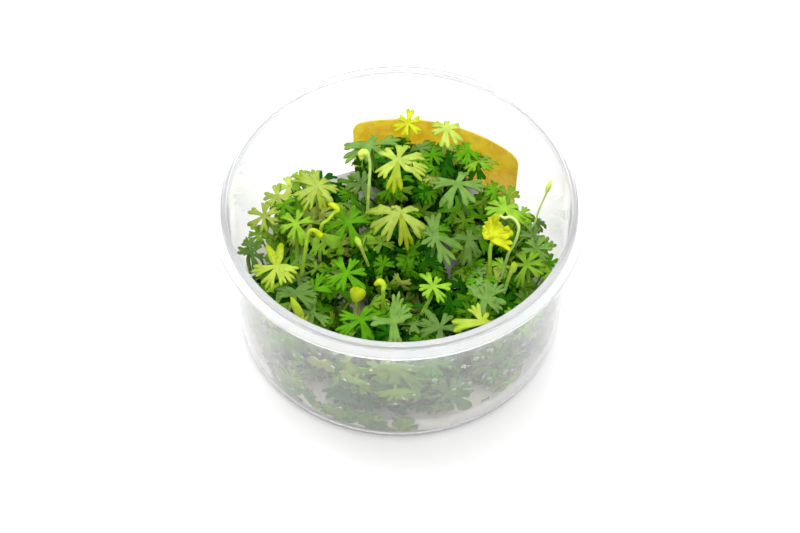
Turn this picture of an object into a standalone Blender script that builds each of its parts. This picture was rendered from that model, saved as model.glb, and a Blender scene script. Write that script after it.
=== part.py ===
"""River buttercup grown in tissue culture, in its open round clear cup.

Metres, +Z up. The origin is the middle of the cup's underside, +X is to the right and +Y is away from
the side that is looked at. Tables of leaves are in millimetres and degrees, and are scaled by MM.
"""

import math
from collections import namedtuple

import bmesh
import bpy
from mathutils import Matrix, Vector, noise
from mathutils.bvhtree import BVHTree

MM = 0.001
GAP = 0.3 * MM
MERGE_DISTANCE = 0.01 * MM

# The cup
CUP_HEIGHT = 49.0 * MM
FLANGE_RADIUS = 50.0 * MM
FLANGE_TOP = 47.4 * MM
FLANGE_THICKNESS = 1.0 * MM
FLANGE_ROUNDING = 0.3 * MM
LIP_OUTER_RADIUS = 47.3 * MM
LIP_INNER_RADIUS = 45.8 * MM
LIP_ROUNDING = 0.3 * MM
WALL_THICKNESS = 1.0 * MM
FLOOR_THICKNESS = 1.2 * MM
WALL_RADIUS_LOW = 45.6 * MM
WALL_RADIUS_HIGH = 47.0 * MM
CORNER_RADIUS = 4.0 * MM
CUP_STEPS = 40

# The label on the outside of the back wall
LABEL_HEIGHT = 22.5 * MM
LABEL_TOP = 27.5 * MM
LABEL_THICKNESS = 0.3 * MM
LABEL_CORNER = 3.0 * MM
LABEL_ANGLES = (42.4, 107.0)
LABEL_COLUMNS = 14

# The gel on the floor
GEL_DEPTH = 7.2 * MM

# The clumps
CLUMP_FOOT = FLOOR_THICKNESS + 2 * GAP + GEL_DEPTH
CLUMP_MIDDLE_RADIUS = 14.6 * MM
CLUMP_INNER_RADIUS = 15.4 * MM
CLUMP_HALF_ANGLE = 28.8
CLUMP_PLAN_SQUARENESS = 7.0
CLUMP_DOME_SQUARENESS = 3.4
CLUMP_SEED_STEP = 3.7
MIDDLE_CLUMP_SEED = 29.3
CLUMP_LUMPS = 3.6
CLUMP_SIDE_DENTS = 0.08
CLUMP_TOP_DENTS = 0.24
CLUMP_COLUMNS = 14
CLUMP_ROWS = 8

# The leaves
BLADE_THICKNESS = 0.4 * MM
STALK_RADIUS = 0.5 * MM
STALK_LENGTH = 6.0 * MM
WALL_CLEARANCE = 0.6 * MM
CLUMP_CLEARANCE = 0.8 * MM
FOOT_GAP = 1.2 * GAP
STALK_BEND_SHARE = 0.45
DROOP_AT_HUB = 0.35
SINUS_SHARE = 0.13
JOINED_SHARE = 0.22
JOINED_BELOW = 50.0
FUSED_SHARE = 0.65
FUSED_BELOW = 26.0
SINUS_LIMIT = 0.85
SPLIT_SHARE = 0.59
SPLIT_PAST_SINUS = 1.06
SPLIT_LIMIT = 0.93
NOTCH_PAST_SPLIT = 1.08
SIDE_LOBE_SHARE = 0.94
WEDGE_HALF_ANGLE = 16.5
WEDGE_SHARE_OF_GAP = 0.38
TIP_SPREAD = 1.1
TIP_BLUNTNESS = 0.42
LARGE_LEAF_RADIUS = 8.9 * MM

# Colours, linear
CLEAR = (0.90, 0.93, 0.95)
OCHRE = (0.62, 0.36, 0.05)
GEL_BEIGE = (0.74, 0.66, 0.56)
UNDERGROWTH = (0.05, 0.17, 0.01)
TINTS = {
    "lime": (0.36, 0.55, 0.06),
    "pale": (0.22, 0.40, 0.04),
    "knob": (0.55, 0.64, 0.05),
    "stalk": (0.60, 0.70, 0.25),
    "yellow": (0.60, 0.66, 0.04),
    "green": (0.12, 0.34, 0.03),
    "blue": (0.13, 0.30, 0.12),
}

Clump = namedtuple("Clump", "name azimuth top outer_radius")
CLUMPS = (
    Clump("clump_back", 84.0, 36.5, 43.4),
    Clump("clump_back_left", 147.0, 29.0, 39.5),
    Clump("clump_front_left", 207.0, 32.0, 43.4),
    Clump("clump_front", 267.0, 34.5, 43.4),
    Clump("clump_front_right", 327.0, 33.0, 43.4),
    Clump("clump_back_right", 25.0, 28.5, 39.5),
)
CLUMP_MIDDLE_TOP = 35.5

# A leaf's place is where its stalk meets the blade. A finger is its azimuth alone, or with its share of the
# leaf's radius and how many lobes it has. The upper face leans towards the azimuth lean by tilt, and droop is
# how far the tips bend down. The stalk goes down to the nearest clump unless points are given for it.
Leaf = namedtuple("Leaf", "name place radius fingers tilt lean droop tint stalk", defaults=((),))
LEAVES = (
    Leaf("leaf_back_lime", (-0.4, 17.1, 44), 10.0,
         ((27, 1, 2), (79, 1.02, 2), (132, 0.78, 2), (218, 0.78, 3), (262, 0.99, 3), (328, 0.98, 2),
          (352, 1, 2)), 0, 0, 20, "lime"),
    Leaf("leaf_back_far", (13.2, 29.5, 43), 9.0,
         ((20, 0.5, 2), (90, 0.42, 2), (145, 0.6, 3), (195, 0.55, 2), (262, 0.75, 2), (312, 0.72, 2)),
         5, 270, 20, "lime"),
    Leaf("leaf_back_top", (2.4, 32.2, 42), 5.0,
         ((25, 0.9, 2), (80, 1, 2), (140, 0.8, 2), (200, 1, 2), (255, 0.9, 2), (320, 1, 2)),
         20, 270, 8, "yellow"),
    Leaf("leaf_back_blue", (16, 13, 39), 9.0,
         ((0, 0.9, 3), (70, 0.75, 2), (165, 0.95, 3), (235, 1, 2), (300, 0.9, 2)), 5, 200, 20, "blue"),
    Leaf("leaf_back_grey", (-8, 26, 40), 9.5,
         ((20, 0.95, 3), (75, 0.5, 2), (178, 0.95, 2), (208, 1.05, 2), (250, 0.7, 2), (320, 0.6, 2)),
         0, 0, 14, "blue"),
    Leaf("leaf_back_bright", (22, 23.5, 36), 6.5, (0, 60, 120, 180, 240, 300), 30, 90, 5, "pale"),
    Leaf("leaf_middle_lime", (0.2, 0.4, 42), 11.3,
         ((38, 0.6, 2), (118, 0.4, 2), (155, 1.1, 1), (194, 1, 2), (232, 0.84, 2), (284, 0.92, 3),
          (328, 0.88, 2)), 0, 0, 34, "lime"),
    Leaf("leaf_middle_blue", (9.5, -5.8, 39.5), 9.3,
         ((94, 1.03, 3), (137, 0.47, 2), (205, 0.46, 1), (246, 0.44, 2), (294, 1.05, 3), (342, 0.88, 1)),
         0, 0, 8, "blue"),
    Leaf("leaf_middle_grey", (19, -3, 35), 8.0,
         ((20, 0.6, 2), (90, 0.6, 2), (160, 0.8, 2), (262, 1.1, 2), (300, 0.8, 2)), 10, 270, 28, "blue"),
    Leaf("leaf_middle_dark", (-14, 3.2, 34.5), 8.3,
         ((15, 0.9, 3), (60, 0.8, 2), (130, 0.8, 2), (185, 1, 3), (235, 0.9, 2), (290, 1, 2)),
         8, 250, 16, "green"),
    Leaf("leaf_middle_small", (8.8, -22.3, 40), 6.0,
         ((62, 0.7, 2), (113, 1.2, 2), (187, 0.72, 2), (232, 0.75, 2), (301, 0.94, 3), (359, 0.92, 2)),
         0, 0, 10, "lime"),
    Leaf("leaf_left_lime", (-22.2, 11.3, 40), 10.0,
         ((2, 0.64, 3), (56, 0.55, 2), (103, 0.96, 3), (141, 1, 3), (205, 0.82, 2), (242, 0.83, 3),
          (284, 0.8, 2), (311, 0.66, 1)), 0, 0, 20, "lime"),
    Leaf("leaf_left_yellow", (-32.5, -13.6, 37), 7.9,
         ((85, 1.12, 1), (113, 1.05, 1), (193, 0.93, 3), (245, 0.98, 3), (290, 0.84, 2), (319, 0.88, 2),
          (351, 0.88, 2)), 6, 270, 8, "lime"),
    Leaf("leaf_left_small", (-37, 5, 35), 6.0,
         ((30, 0.9, 2), (85, 1, 3), (150, 0.9, 2), (215, 1, 2), (270, 0.9, 2), (330, 0.8, 2)),
         12, 250, 16, "lime"),
    Leaf("leaf_left_grey", (-27.5, -21, 35), 7.5,
         ((5, 0.9, 3), (40, 0.9, 2), (150, 0.9, 2), (185, 0.8, 2), (262, 0.8, 2), (325, 0.9, 2)),
         5, 270, 10, "blue"),
    Leaf("leaf_left_mid", (-28, 1.1, 36.6), 6.8,
         ((20, 0.8, 2), (75, 0.9, 2), (135, 1, 2), (195, 0.9, 2), (250, 0.8, 2), (295, 1.1, 2)),
         10, 250, 18, "pale"),
    Leaf("leaf_left_wall", (-40, -5, 31), 4.8, (0, 60, 120, 180, 300), 45, 330, 4, "blue"),
    Leaf("leaf_right_pale", (28.8, 6.3, 36.5), 8.2,
         ((25, 0.55, 2), (100, 0.7, 2), (138, 0.78, 2), (184, 0.8, 2), (226, 0.7, 2), (313, 1, 2),
          (344, 0.88, 2)), 0, 0, 12, "pale"),
    Leaf("leaf_right_blue", (22.7, -25, 38), 9.0,
         ((49, 0.85, 3), (90, 0.76, 1), (105, 0.93, 2), (129, 0.92, 2), (249, 0.68, 2), (318, 0.68, 2),
          (352, 0.62, 1)), 0, 0, 6, "blue"),
    Leaf("leaf_right_mid", (34, -12, 35.5), 6.8,
         ((10, 0.9, 2), (60, 1, 2), (110, 1, 2), (170, 0.8, 2), (240, 1, 3), (315, 0.9, 2)),
         10, 200, 14, "pale"),
    Leaf("leaf_right_wall", (37, -4.8, 33), 5.2, (0, 60, 120, 180, 240, 300), 20, 190, 6, "blue"),
    Leaf("leaf_front_blue", (-1.6, -33.5, 40), 8.8,
         ((22, 0.62, 1), (50, 0.84, 2), (80, 1.05, 3), (179, 0.78, 2), (275, 0.85, 3)), 6, 270, 4, "blue"),
    Leaf("leaf_front_lime", (21.2, -35.2, 42.5), 8.3,
         ((60, 0.4, 1), (112, 0.85, 3), (187, 1.1, 2), (343, 0.4, 1)), 0, 0, 8, "lime"),
    Leaf("leaf_front_green", (10.5, -34, 38), 7.0,
         ((0, 1, 2), (60, 0.9, 2), (125, 1, 1), (155, 1, 2), (195, 0.9, 2), (270, 1, 2)),
         8, 270, 10, "blue"),
    Leaf("leaf_front_mid", (-10, -31, 37.5), 8.0,
         ((10, 0.9, 2), (60, 0.7, 2), (165, 0.8, 3), (215, 1, 3), (290, 1, 2)), 8, 260, 10, "green"),
    Leaf("leaf_front_left", (-14, -15.5, 36.5), 7.5,
         ((10, 0.8, 2), (65, 0.8, 3), (120, 1, 2), (205, 0.9, 3), (250, 0.8, 2), (310, 1, 2)),
         6, 270, 14, "green"),
    Leaf("young_leaf_hook", (-20.8, -7, 41.5), 7.6,
         ((250, 0.95, 2), (277, 0.84, 2), (303, 1, 2), (321, 1.04, 1)), 62, 280, -6, "pale",
         ((-22.1, -6.6, 43), (-23.2, -6.4, 43.3), (-24, -6.8, 43), (-24.5, -7.7, 41.5), (-25, -9.4, 38.5),
          (-25.3, -11.4, 34.5))),
    Leaf("young_leaf_hood", (24.4, -6.4, 40.5), 7.3,
         ((10, 0.82, 1), (26, 0.8, 1), (42, 0.62, 1), (60, 0.68, 1), (76, 0.86, 1), (92, 0.76, 1),
          (108, 0.64, 1), (124, 0.52, 1), (140, 0.43, 1), (156, 0.35, 1), (333, 1, 2)),
         38, 270, -18, "yellow", ((24.7, -7.3, 39.4), (24.2, -9, 37), (23.2, -12.1, 33))),
)

# Leaves pressed flat against the inside of the front wall: azimuth round the cup, height, radius, and the
# fingers, whose angles are from straight down, anticlockwise as the leaf is seen from outside.
WallLeaf = namedtuple("WallLeaf", "name azimuth height radius fingers tint")
WALL_LEAVES = (
    WallLeaf("leaf_wall_lime", 243.6, 31.7, 6.2, ((-118, 1, 1), (-90, 0.9, 1), (22, 0.9, 1), (52, 1, 1)),
             "lime"),
    WallLeaf("leaf_wall_left", 255.5, 28.5, 4.4, ((-122, 1, 1), (-98, 0.9, 1), (50, 0.9, 1), (74, 1, 1)),
             "lime"),
    WallLeaf("leaf_wall_front", 268.6, 36.0, 10.5,
             ((-95, 0.8, 2), (-58, 1, 3), (-8, 1.05, 2), (48, 1, 3), (88, 0.85, 2)), "lime"),
    WallLeaf("leaf_wall_cupped", 268.5, 24.8, 5.8,
             ((-82, 1, 1), (-52, 0.95, 1), (-22, 1, 1), (10, 1, 1), (42, 0.95, 1), (75, 1, 1)), "lime"),
    WallLeaf("leaf_wall_star", 287, 20.5, 10.0,
             ((-24, 1, 1), (2, 1.15, 1), (26, 1.1, 1), (100, 0.8, 2), (145, 0.8, 2), (-145, 0.8, 2)), "blue"),
    WallLeaf("leaf_wall_dark", 311.5, 12.5, 5.2, ((-100, 1, 1), (-78, 0.9, 1), (78, 0.9, 1), (98, 1, 1)),
             "green"),
    WallLeaf("leaf_wall_right", 302, 29.0, 6.5, (-120, -60, 0, 50, 110, 180), "blue"),
    WallLeaf("leaf_wall_low", 230, 15.0, 5.0, (-110, -55, 0, 50, 115, 180), "green"),
)

# A young leaf is a stalk that swells into a rolled knob. Its points are x, y, z and the thickness as a share
# of the stalk's, and its first point is set down onto the nearest clump.
Young = namedtuple("Young", "name points tint")
YOUNG = (
    Young("young_leaf_knob_back", ((-9.2, 8.5, 33, 1), (-8.3, 12.4, 39, 1), (-8, 15.7, 42.3, 0.9),
                                   (-8.3, 17.9, 44, 1), (-9.2, 19, 44.6, 2.2), (-10.3, 19.2, 44, 2.7),
                                   (-10.3, 18.6, 43, 1.2)), "knob"),
    Young("young_leaf_knob_left", ((-21.6, -3, 34, 1), (-21.1, -1.6, 38, 1), (-19.2, -0.1, 39.5, 1),
                                   (-17.6, 1.5, 40.6, 1.1), (-16.6, 1.9, 41.3, 1.5),
                                   (-17.6, 2.9, 41.8, 1.9), (-18.8, 3.5, 41.8, 1.2)), "knob"),
    Young("young_leaf_stalk_right", ((27.7, -12.1, 34, 0.9), (29, -9.6, 36.5, 0.9), (30.3, -8.1, 38.5, 0.9),
                                     (31.3, -6.6, 40.5, 0.9), (31.8, -4.9, 42.2, 0.9),
                                     (31.1, -3.3, 43.2, 0.9), (29.5, -2.3, 43.7, 0.9),
                                     (27.9, -2.7, 43.8, 0.9), (26.8, -1.9, 44, 0.6)), "stalk"),
    Young("young_leaf_small", ((-4.3, -24, 34, 1.2), (-4.3, -23.2, 38.5, 1.3), (-4.1, -22.2, 40, 1.6),
                               (-5.1, -21.4, 40.6, 2.0), (-6.3, -21.6, 39.8, 1.1)), "knob"),
    Young("young_leaf_disc", ((-11.6, -24.5, 33, 1.2), (-11.4, -24.4, 37, 1.2), (-11.2, -25, 38.6, 3.2),
                              (-11, -25.1, 40, 4.6), (-10.9, -24.9, 41.2, 4.2), (-10.9, -24.6, 42, 1.6)),
          "knob"),
    Young("leaf_front_yellow", ((-24.6, -32.4, 35, 1), (-25, -32, 37.5, 1.2), (-25.7, -31.2, 39.5, 2.3),
                                (-26.7, -30.1, 41.5, 2.4), (-27.6, -28.8, 42.9, 1.2),
                                (-28, -28.3, 43.5, 0.4)), "yellow"),
    Young("young_leaf_right", ((28, -17.2, 32, 1), (29.3, -16.2, 36.5, 1.1), (30, -15.7, 38.3, 2.0),
                               (30.2, -15.2, 39.8, 1.7), (30.2, -15, 40.6, 0.6)), "lime"),
    Young("young_leaf_middle", ((-9.4, -8.6, 33, 0.9), (-10.2, -8, 37.4, 1), (-11.1, -6.9, 39, 1.9),
                                (-11.6, -6.2, 39.8, 0.9)), "lime"),
    Young("bud_on_stalk", ((35.2, 0, 29, 0.65), (36.3, 2.1, 34, 0.6), (38, 5.2, 37.5, 0.55),
                           (39.6, 7.6, 40.6, 0.6), (40.2, 8.6, 42, 1.4), (40.6, 9.3, 43, 1.4),
                           (41, 9.9, 44, 0.6)), "lime"),
)


def clear_scene():
    for item in list(bpy.data.objects):
        bpy.data.objects.remove(item, do_unlink=True)


def make_collection(name):
    collection = bpy.data.collections.new(name)
    bpy.context.scene.collection.children.link(collection)
    return collection


def make_material(name, colour, roughness, transmission=0.0):
    material = bpy.data.materials.new(name)
    material.use_nodes = True
    shader = material.node_tree.nodes["Principled BSDF"]
    shader.inputs["Base Color"].default_value = (*colour, 1.0)
    shader.inputs["Roughness"].default_value = roughness
    shader.inputs["Metallic"].default_value = 0.0
    shader.inputs["Transmission Weight"].default_value = transmission
    material.diffuse_color = (*colour, 1.0)
    return material


def place_mesh(name, bm, material, collection, location=(0.0, 0.0, 0.0)):
    mesh = bpy.data.meshes.new(name)
    bm.to_mesh(mesh)
    bm.free()
    mesh.materials.append(material)
    item = bpy.data.objects.new(name, mesh)
    item.location = location
    collection.objects.link(item)
    return item


def arc(centre, radius, start, end, count):
    """Points of a profile's arc as (radius from the axis, height), angles in degrees from +X."""
    points = []
    for i in range(count):
        angle = math.radians(start + (end - start) * i / (count - 1))
        points.append((centre[0] + radius * math.cos(angle), centre[1] + radius * math.sin(angle)))
    return points


def turned(name, profile, steps, material, collection):
    """A solid turned round Z from a profile that begins and ends on the axis."""
    bm = bmesh.new()
    verts = [bm.verts.new((r, 0.0, z)) for r, z in profile]
    for first, second in zip(verts, verts[1:]):
        bm.edges.new((first, second))
    item = place_mesh(name, bm, material, collection)
    screw = item.modifiers.new("Turn", "SCREW")
    screw.steps = steps
    screw.render_steps = steps
    screw.use_merge_vertices = True
    screw.merge_threshold = MERGE_DISTANCE
    screw.use_smooth_shade = True
    return item


def wall_radius(z):
    """The cup's outer radius at height z, between the bottom corner and the flange."""
    share = (z - CORNER_RADIUS) / (FLANGE_TOP - FLANGE_THICKNESS - CORNER_RADIUS)
    return WALL_RADIUS_LOW + (WALL_RADIUS_HIGH - WALL_RADIUS_LOW) * min(max(share, 0.0), 1.0)


def inner_radius(z):
    return wall_radius(z) - WALL_THICKNESS


def cup_profile():
    inside_corner = CORNER_RADIUS - WALL_THICKNESS
    corner_height = FLOOR_THICKNESS + inside_corner
    flange_bottom = FLANGE_TOP - FLANGE_THICKNESS
    points = [(0.0, FLOOR_THICKNESS)]
    points += arc((inner_radius(0.0) - inside_corner, corner_height), inside_corner, -90, 0, 3)
    points += [(inner_radius(flange_bottom), flange_bottom)]
    points += [(LIP_INNER_RADIUS, CUP_HEIGHT - LIP_ROUNDING)]
    points += [(LIP_INNER_RADIUS + LIP_ROUNDING, CUP_HEIGHT)]
    points += [(LIP_OUTER_RADIUS - LIP_ROUNDING, CUP_HEIGHT)]
    points += [(LIP_OUTER_RADIUS, CUP_HEIGHT - LIP_ROUNDING)]
    points += [(LIP_OUTER_RADIUS, FLANGE_TOP)]
    points += [(FLANGE_RADIUS - FLANGE_ROUNDING, FLANGE_TOP)]
    points += [(FLANGE_RADIUS, FLANGE_TOP - FLANGE_ROUNDING)]
    points += [(FLANGE_RADIUS, flange_bottom + FLANGE_ROUNDING)]
    points += [(FLANGE_RADIUS - FLANGE_ROUNDING, flange_bottom)]
    points += [(wall_radius(flange_bottom), flange_bottom)]
    points += arc((WALL_RADIUS_LOW - CORNER_RADIUS, CORNER_RADIUS), CORNER_RADIUS, 0, -90, 3)
    points += [(0.0, 0.0)]
    return points


def make_cup(collection):
    material = make_material("clear_plastic", CLEAR, 0.05, transmission=1.0)
    return turned("cup", cup_profile(), CUP_STEPS, material, collection)


def make_gel(collection):
    """The gel fills the floor, a gap away from the cup's inside."""
    rounding = CORNER_RADIUS - WALL_THICKNESS - GAP
    bottom = FLOOR_THICKNESS + GAP
    top = bottom + GEL_DEPTH
    rim = inner_radius(top) - GAP
    points = [(0.0, top), (rim, top), (inner_radius(bottom + rounding) - GAP, bottom + rounding)]
    points += [(inner_radius(0.0) - GAP - rounding, bottom), (0.0, bottom)]
    material = make_material("gel", GEL_BEIGE, 0.15, transmission=0.6)
    return turned("gel", points, CUP_STEPS, material, collection)


def make_label(collection):
    """A thin sheet with rounded corners that follows the outside of the back wall."""
    start, end = LABEL_ANGLES
    half_length = math.radians(end - start) / 2 * WALL_RADIUS_HIGH
    bottom = LABEL_TOP - LABEL_HEIGHT
    bm = bmesh.new()
    columns = []
    for i in range(LABEL_COLUMNS + 1):
        # Columns crowd towards both ends, where the corners are
        along = -math.cos(math.pi * i / LABEL_COLUMNS)
        into_corner = LABEL_CORNER - (1 - abs(along)) * half_length
        cut = 0.0
        if into_corner > 0:
            cut = LABEL_CORNER - math.sqrt(max(LABEL_CORNER**2 - into_corner**2, 0.0))
        angle = math.radians(start + (end - start) * (along + 1) / 2)
        column = []
        for z in (bottom + cut, LABEL_TOP - cut):
            radius = wall_radius(z) + GAP + LABEL_THICKNESS
            column.append(bm.verts.new((radius * math.cos(angle), radius * math.sin(angle), z)))
        columns.append(column)
    for left, right in zip(columns, columns[1:]):
        bm.faces.new((left[1], right[1], right[0], left[0]))
    bmesh.ops.recalc_face_normals(bm, faces=bm.faces)
    material = make_material("label_paper", OCHRE, 0.6)
    item = place_mesh("label", bm, material, collection)
    solidify = item.modifiers.new("Thickness", "SOLIDIFY")
    solidify.thickness = LABEL_THICKNESS
    solidify.offset = -1.0
    return item


def lumped(point, seed):
    """A point of the unit sphere, squared off and pressed in by dents, never further out than 1.

    The upper half is a dome. The lower half is straight sided, down to a flat foot.
    """
    plan = CLUMP_PLAN_SQUARENESS
    dome = CLUMP_DOME_SQUARENESS
    across = (abs(point.x) ** plan + abs(point.y) ** plan) ** (1 / plan)
    norm = (across**dome + abs(point.z) ** dome) ** (1 / dome)
    dent = 0.5 + 0.5 * noise.noise(point * CLUMP_LUMPS + Vector((seed, 0, 0)))
    side = 1 - CLUMP_SIDE_DENTS * dent
    if point.z > -0.01:
        return Vector((point.x * side, point.y * side, point.z * (1 - CLUMP_TOP_DENTS * dent))) / norm
    depth = max(point.z / math.cos(math.pi / CLUMP_ROWS), -1.0)
    widen = side / across if across > 0.01 else 0.0
    return Vector((point.x * widen, point.y * widen, depth))


def clump_sphere():
    bm = bmesh.new()
    bmesh.ops.create_uvsphere(bm, u_segments=CLUMP_COLUMNS, v_segments=CLUMP_ROWS, radius=1.0)
    return bm


def make_clump(clump, seed, material, collection):
    """A clump fills its sixth of the ring between the middle clump and the wall."""
    middle = (CLUMP_INNER_RADIUS + clump.outer_radius * MM) / 2
    depth = (clump.outer_radius * MM - CLUMP_INNER_RADIUS) / 2
    half_height = (clump.top * MM - CLUMP_FOOT) / 2
    azimuth = math.radians(clump.azimuth)
    centre = Vector((middle * math.cos(azimuth), middle * math.sin(azimuth), CLUMP_FOOT))
    bm = clump_sphere()
    for vert in bm.verts:
        out, side, up = lumped(vert.co.copy(), seed)
        radius = middle + out * depth
        angle = azimuth + math.radians(CLUMP_HALF_ANGLE) * side
        height = max(CLUMP_FOOT + (up + 1) * half_height, CLUMP_FOOT)
        vert.co = Vector((radius * math.cos(angle), radius * math.sin(angle), height)) - centre
    return place_mesh(clump.name, bm, material, collection, centre)


def make_middle_clump(seed, material, collection):
    half_height = (CLUMP_MIDDLE_TOP * MM - CLUMP_FOOT) / 2
    bm = clump_sphere()
    for vert in bm.verts:
        x, y, up = lumped(vert.co.copy(), seed)
        round_off = 1 / max(math.hypot(x, y), 1.0)
        height = (up + 1) * half_height
        vert.co = Vector((x * round_off * CLUMP_MIDDLE_RADIUS, y * round_off * CLUMP_MIDDLE_RADIUS, height))
    return place_mesh("clump_middle", bm, material, collection, (0.0, 0.0, CLUMP_FOOT))


def make_clumps(collection):
    material = make_material("undergrowth", UNDERGROWTH, 0.6)
    made = [make_clump(clump, CLUMP_SEED_STEP * i, material, collection) for i, clump in enumerate(CLUMPS)]
    made.append(make_middle_clump(MIDDLE_CLUMP_SEED, material, collection))
    return made


def surface_tree(items):
    """One search tree over the clumps' surfaces, in world coordinates."""
    points = []
    faces = []
    for item in items:
        first = len(points)
        points += [item.location + vert.co for vert in item.data.vertices]
        faces += [[first + index for index in face.vertices] for face in item.data.polygons]
    return BVHTree.FromPolygons(points, faces)


def ground_height(tree, x, y):
    """The height of the clumps at a place, or the gel's where there is a gap between them."""
    hit = tree.ray_cast(Vector((x, y, CUP_HEIGHT)), Vector((0, 0, -1)))[0]
    return hit.z if hit else CLUMP_FOOT


def foot_near(tree, point):
    """The place nearest to a point on a clump, a gap above its surface."""
    nearest, normal = tree.find_nearest(point)[:2]
    return nearest + normal * FOOT_GAP


def gap_between(first, second):
    return (second - first) % 360.0


def sinus_share(gap, shortest):
    """How far from the middle the gap between two fingers begins, as a share of the leaf's radius."""
    joined = JOINED_SHARE * min(max((JOINED_BELOW - gap) / 20, 0.0), 1.0)
    fused = FUSED_SHARE * min(max((FUSED_BELOW - gap) / 10, 0.0), 1.0)
    return min(SINUS_SHARE + joined + fused, SINUS_LIMIT * shortest)


def blade_outline(radius, fingers):
    """The flat blade as faces of points (distance, azimuth).

    Each finger is a wedge that ends in two blunt lobes, or on every other finger of a small leaf in only one.
    """
    full = [finger if isinstance(finger, tuple) else (finger, 1.0, 0) for finger in fingers]
    order = sorted((finger[0] % 360.0, *finger[1:]) for finger in full)
    count = len(order)
    sinuses = []
    for i, (angle, length, _) in enumerate(order):
        gap = gap_between(order[i - 1][0], angle)
        depth = radius * sinus_share(gap, min(length, order[i - 1][1]))
        sinuses.append((depth, angle - gap / 2))
    faces = []
    for i, (angle, length, lobes) in enumerate(order):
        gap = min(gap_between(order[i - 1][0], angle), gap_between(angle, order[(i + 1) % count][0]))
        half = min(WEDGE_HALF_ANGLE, WEDGE_SHARE_OF_GAP * gap)
        lobes = 2 if lobes != 1 and (radius > LARGE_LEAF_RADIUS or i % 2 == 0) else 1
        left = sinuses[i]
        right = sinuses[(i + 1) % count]
        reach = radius * length * (1.0 if lobes == 1 else SIDE_LOBE_SHARE)
        start = max(radius * length * SPLIT_SHARE, SPLIT_PAST_SINUS * left[0], SPLIT_PAST_SINUS * right[0])
        start = min(start, SPLIT_LIMIT * reach)
        split = []
        for j in range(lobes + 1):
            share = NOTCH_PAST_SPLIT if 0 < j < lobes else 1.0
            split.append((min(start * share, SPLIT_LIMIT * reach), angle + half * (2 * j / lobes - 1)))
        faces.append([(0.0, 0.0), left, right])
        faces.append([left, *split, right])
        for j in range(lobes):
            middle = (j + 0.5) / lobes * 2 - 1
            tips = []
            for side in (-1, 1):
                tips.append((reach, angle + half * TIP_SPREAD * (middle + side * TIP_BLUNTNESS / lobes)))
            faces.append([split[j], *tips, split[j + 1]])
    return faces


def bent(point, radius, droop):
    """A point of the flat blade, bent down towards its tip."""
    distance, azimuth = point
    fall = math.radians(droop) * (DROOP_AT_HUB + (1 - DROOP_AT_HUB) * distance / radius)
    across = distance * math.cos(fall)
    angle = math.radians(azimuth)
    return Vector((across * math.cos(angle), across * math.sin(angle), -distance * math.sin(fall)))


def kept_inside(point, tree):
    """A point of a blade, held off the wall and off the clumps below it."""
    limit = inner_radius(point.z) - WALL_CLEARANCE
    reach = math.hypot(point.x, point.y)
    if reach > limit:
        point = Vector((point.x * limit / reach, point.y * limit / reach, point.z))
    if tree is not None:
        point.z = max(point.z, ground_height(tree, point.x, point.y) + CLUMP_CLEARANCE)
    return point


def tube(name, points, thicknesses, resolution, material, collection):
    """A stalk: a straight-sided tube through points, with filled ends."""
    curve = bpy.data.curves.new(name, "CURVE")
    curve.dimensions = "3D"
    curve.bevel_depth = STALK_RADIUS
    curve.bevel_resolution = resolution
    curve.use_fill_caps = True
    spline = curve.splines.new("POLY")
    spline.points.add(len(points) - 1)
    for knot, point, thickness in zip(spline.points, points, thicknesses):
        knot.co = (*point, 1.0)
        knot.radius = thickness
    curve.materials.append(material)
    item = bpy.data.objects.new(name, curve)
    collection.objects.link(item)
    return item


def made_mesh(item, collection):
    """A tube made a mesh with its caps welded, so that it can be joined to a blade."""
    bpy.context.view_layer.update()
    graph = bpy.context.evaluated_depsgraph_get()
    mesh = bpy.data.meshes.new_from_object(item.evaluated_get(graph))
    bm = bmesh.new()
    bm.from_mesh(mesh)
    bmesh.ops.remove_doubles(bm, verts=bm.verts, dist=MERGE_DISTANCE)
    bm.to_mesh(mesh)
    bm.free()
    name = item.name
    place = item.matrix_world.copy()
    bpy.data.objects.remove(item, do_unlink=True)
    result = bpy.data.objects.new(name, mesh)
    result.matrix_world = place
    result.hide_render = True
    result.display_type = "WIRE"
    collection.objects.link(result)
    return result


def stalk_points(hub, down, foot, count=3):
    """A stalk leaves the blade along its underside's normal and bends over to its foot."""
    reach = (foot - hub).length * STALK_BEND_SHARE
    control = hub + down * reach
    points = []
    for i in range(count):
        t = i / (count - 1)
        points.append(hub * (1 - t) ** 2 + control * 2 * t * (1 - t) + foot * t**2)
    return points


def leaf_solid(name, hub, frame, outline, radius, droop, tree, stalk, tint, collections):
    """A blade with its thickness, joined to its stalk. frame turns the blade's own axes to the world's."""
    parts, joiners = collections
    material = make_material(name, TINTS[tint], 0.45)
    bm = bmesh.new()
    known = {}
    for face in outline:
        corners = []
        for point in face:
            if point not in known:
                place = kept_inside(hub + frame @ bent(point, radius, droop), tree)
                known[point] = bm.verts.new(place - hub)
            corners.append(known[point])
        bm.faces.new(corners)
    bmesh.ops.triangulate(bm, faces=bm.faces)
    blade = place_mesh(name, bm, material, parts, hub)
    solidify = blade.modifiers.new("Thickness", "SOLIDIFY")
    solidify.thickness = BLADE_THICKNESS
    solidify.offset = 0.0
    stalk_tube = tube(name + "_stalk", stalk, [1.0] * len(stalk), 0, material, joiners)
    union = blade.modifiers.new("Stalk", "BOOLEAN")
    union.operation = "UNION"
    union.object = made_mesh(stalk_tube, joiners)
    return blade


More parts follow.
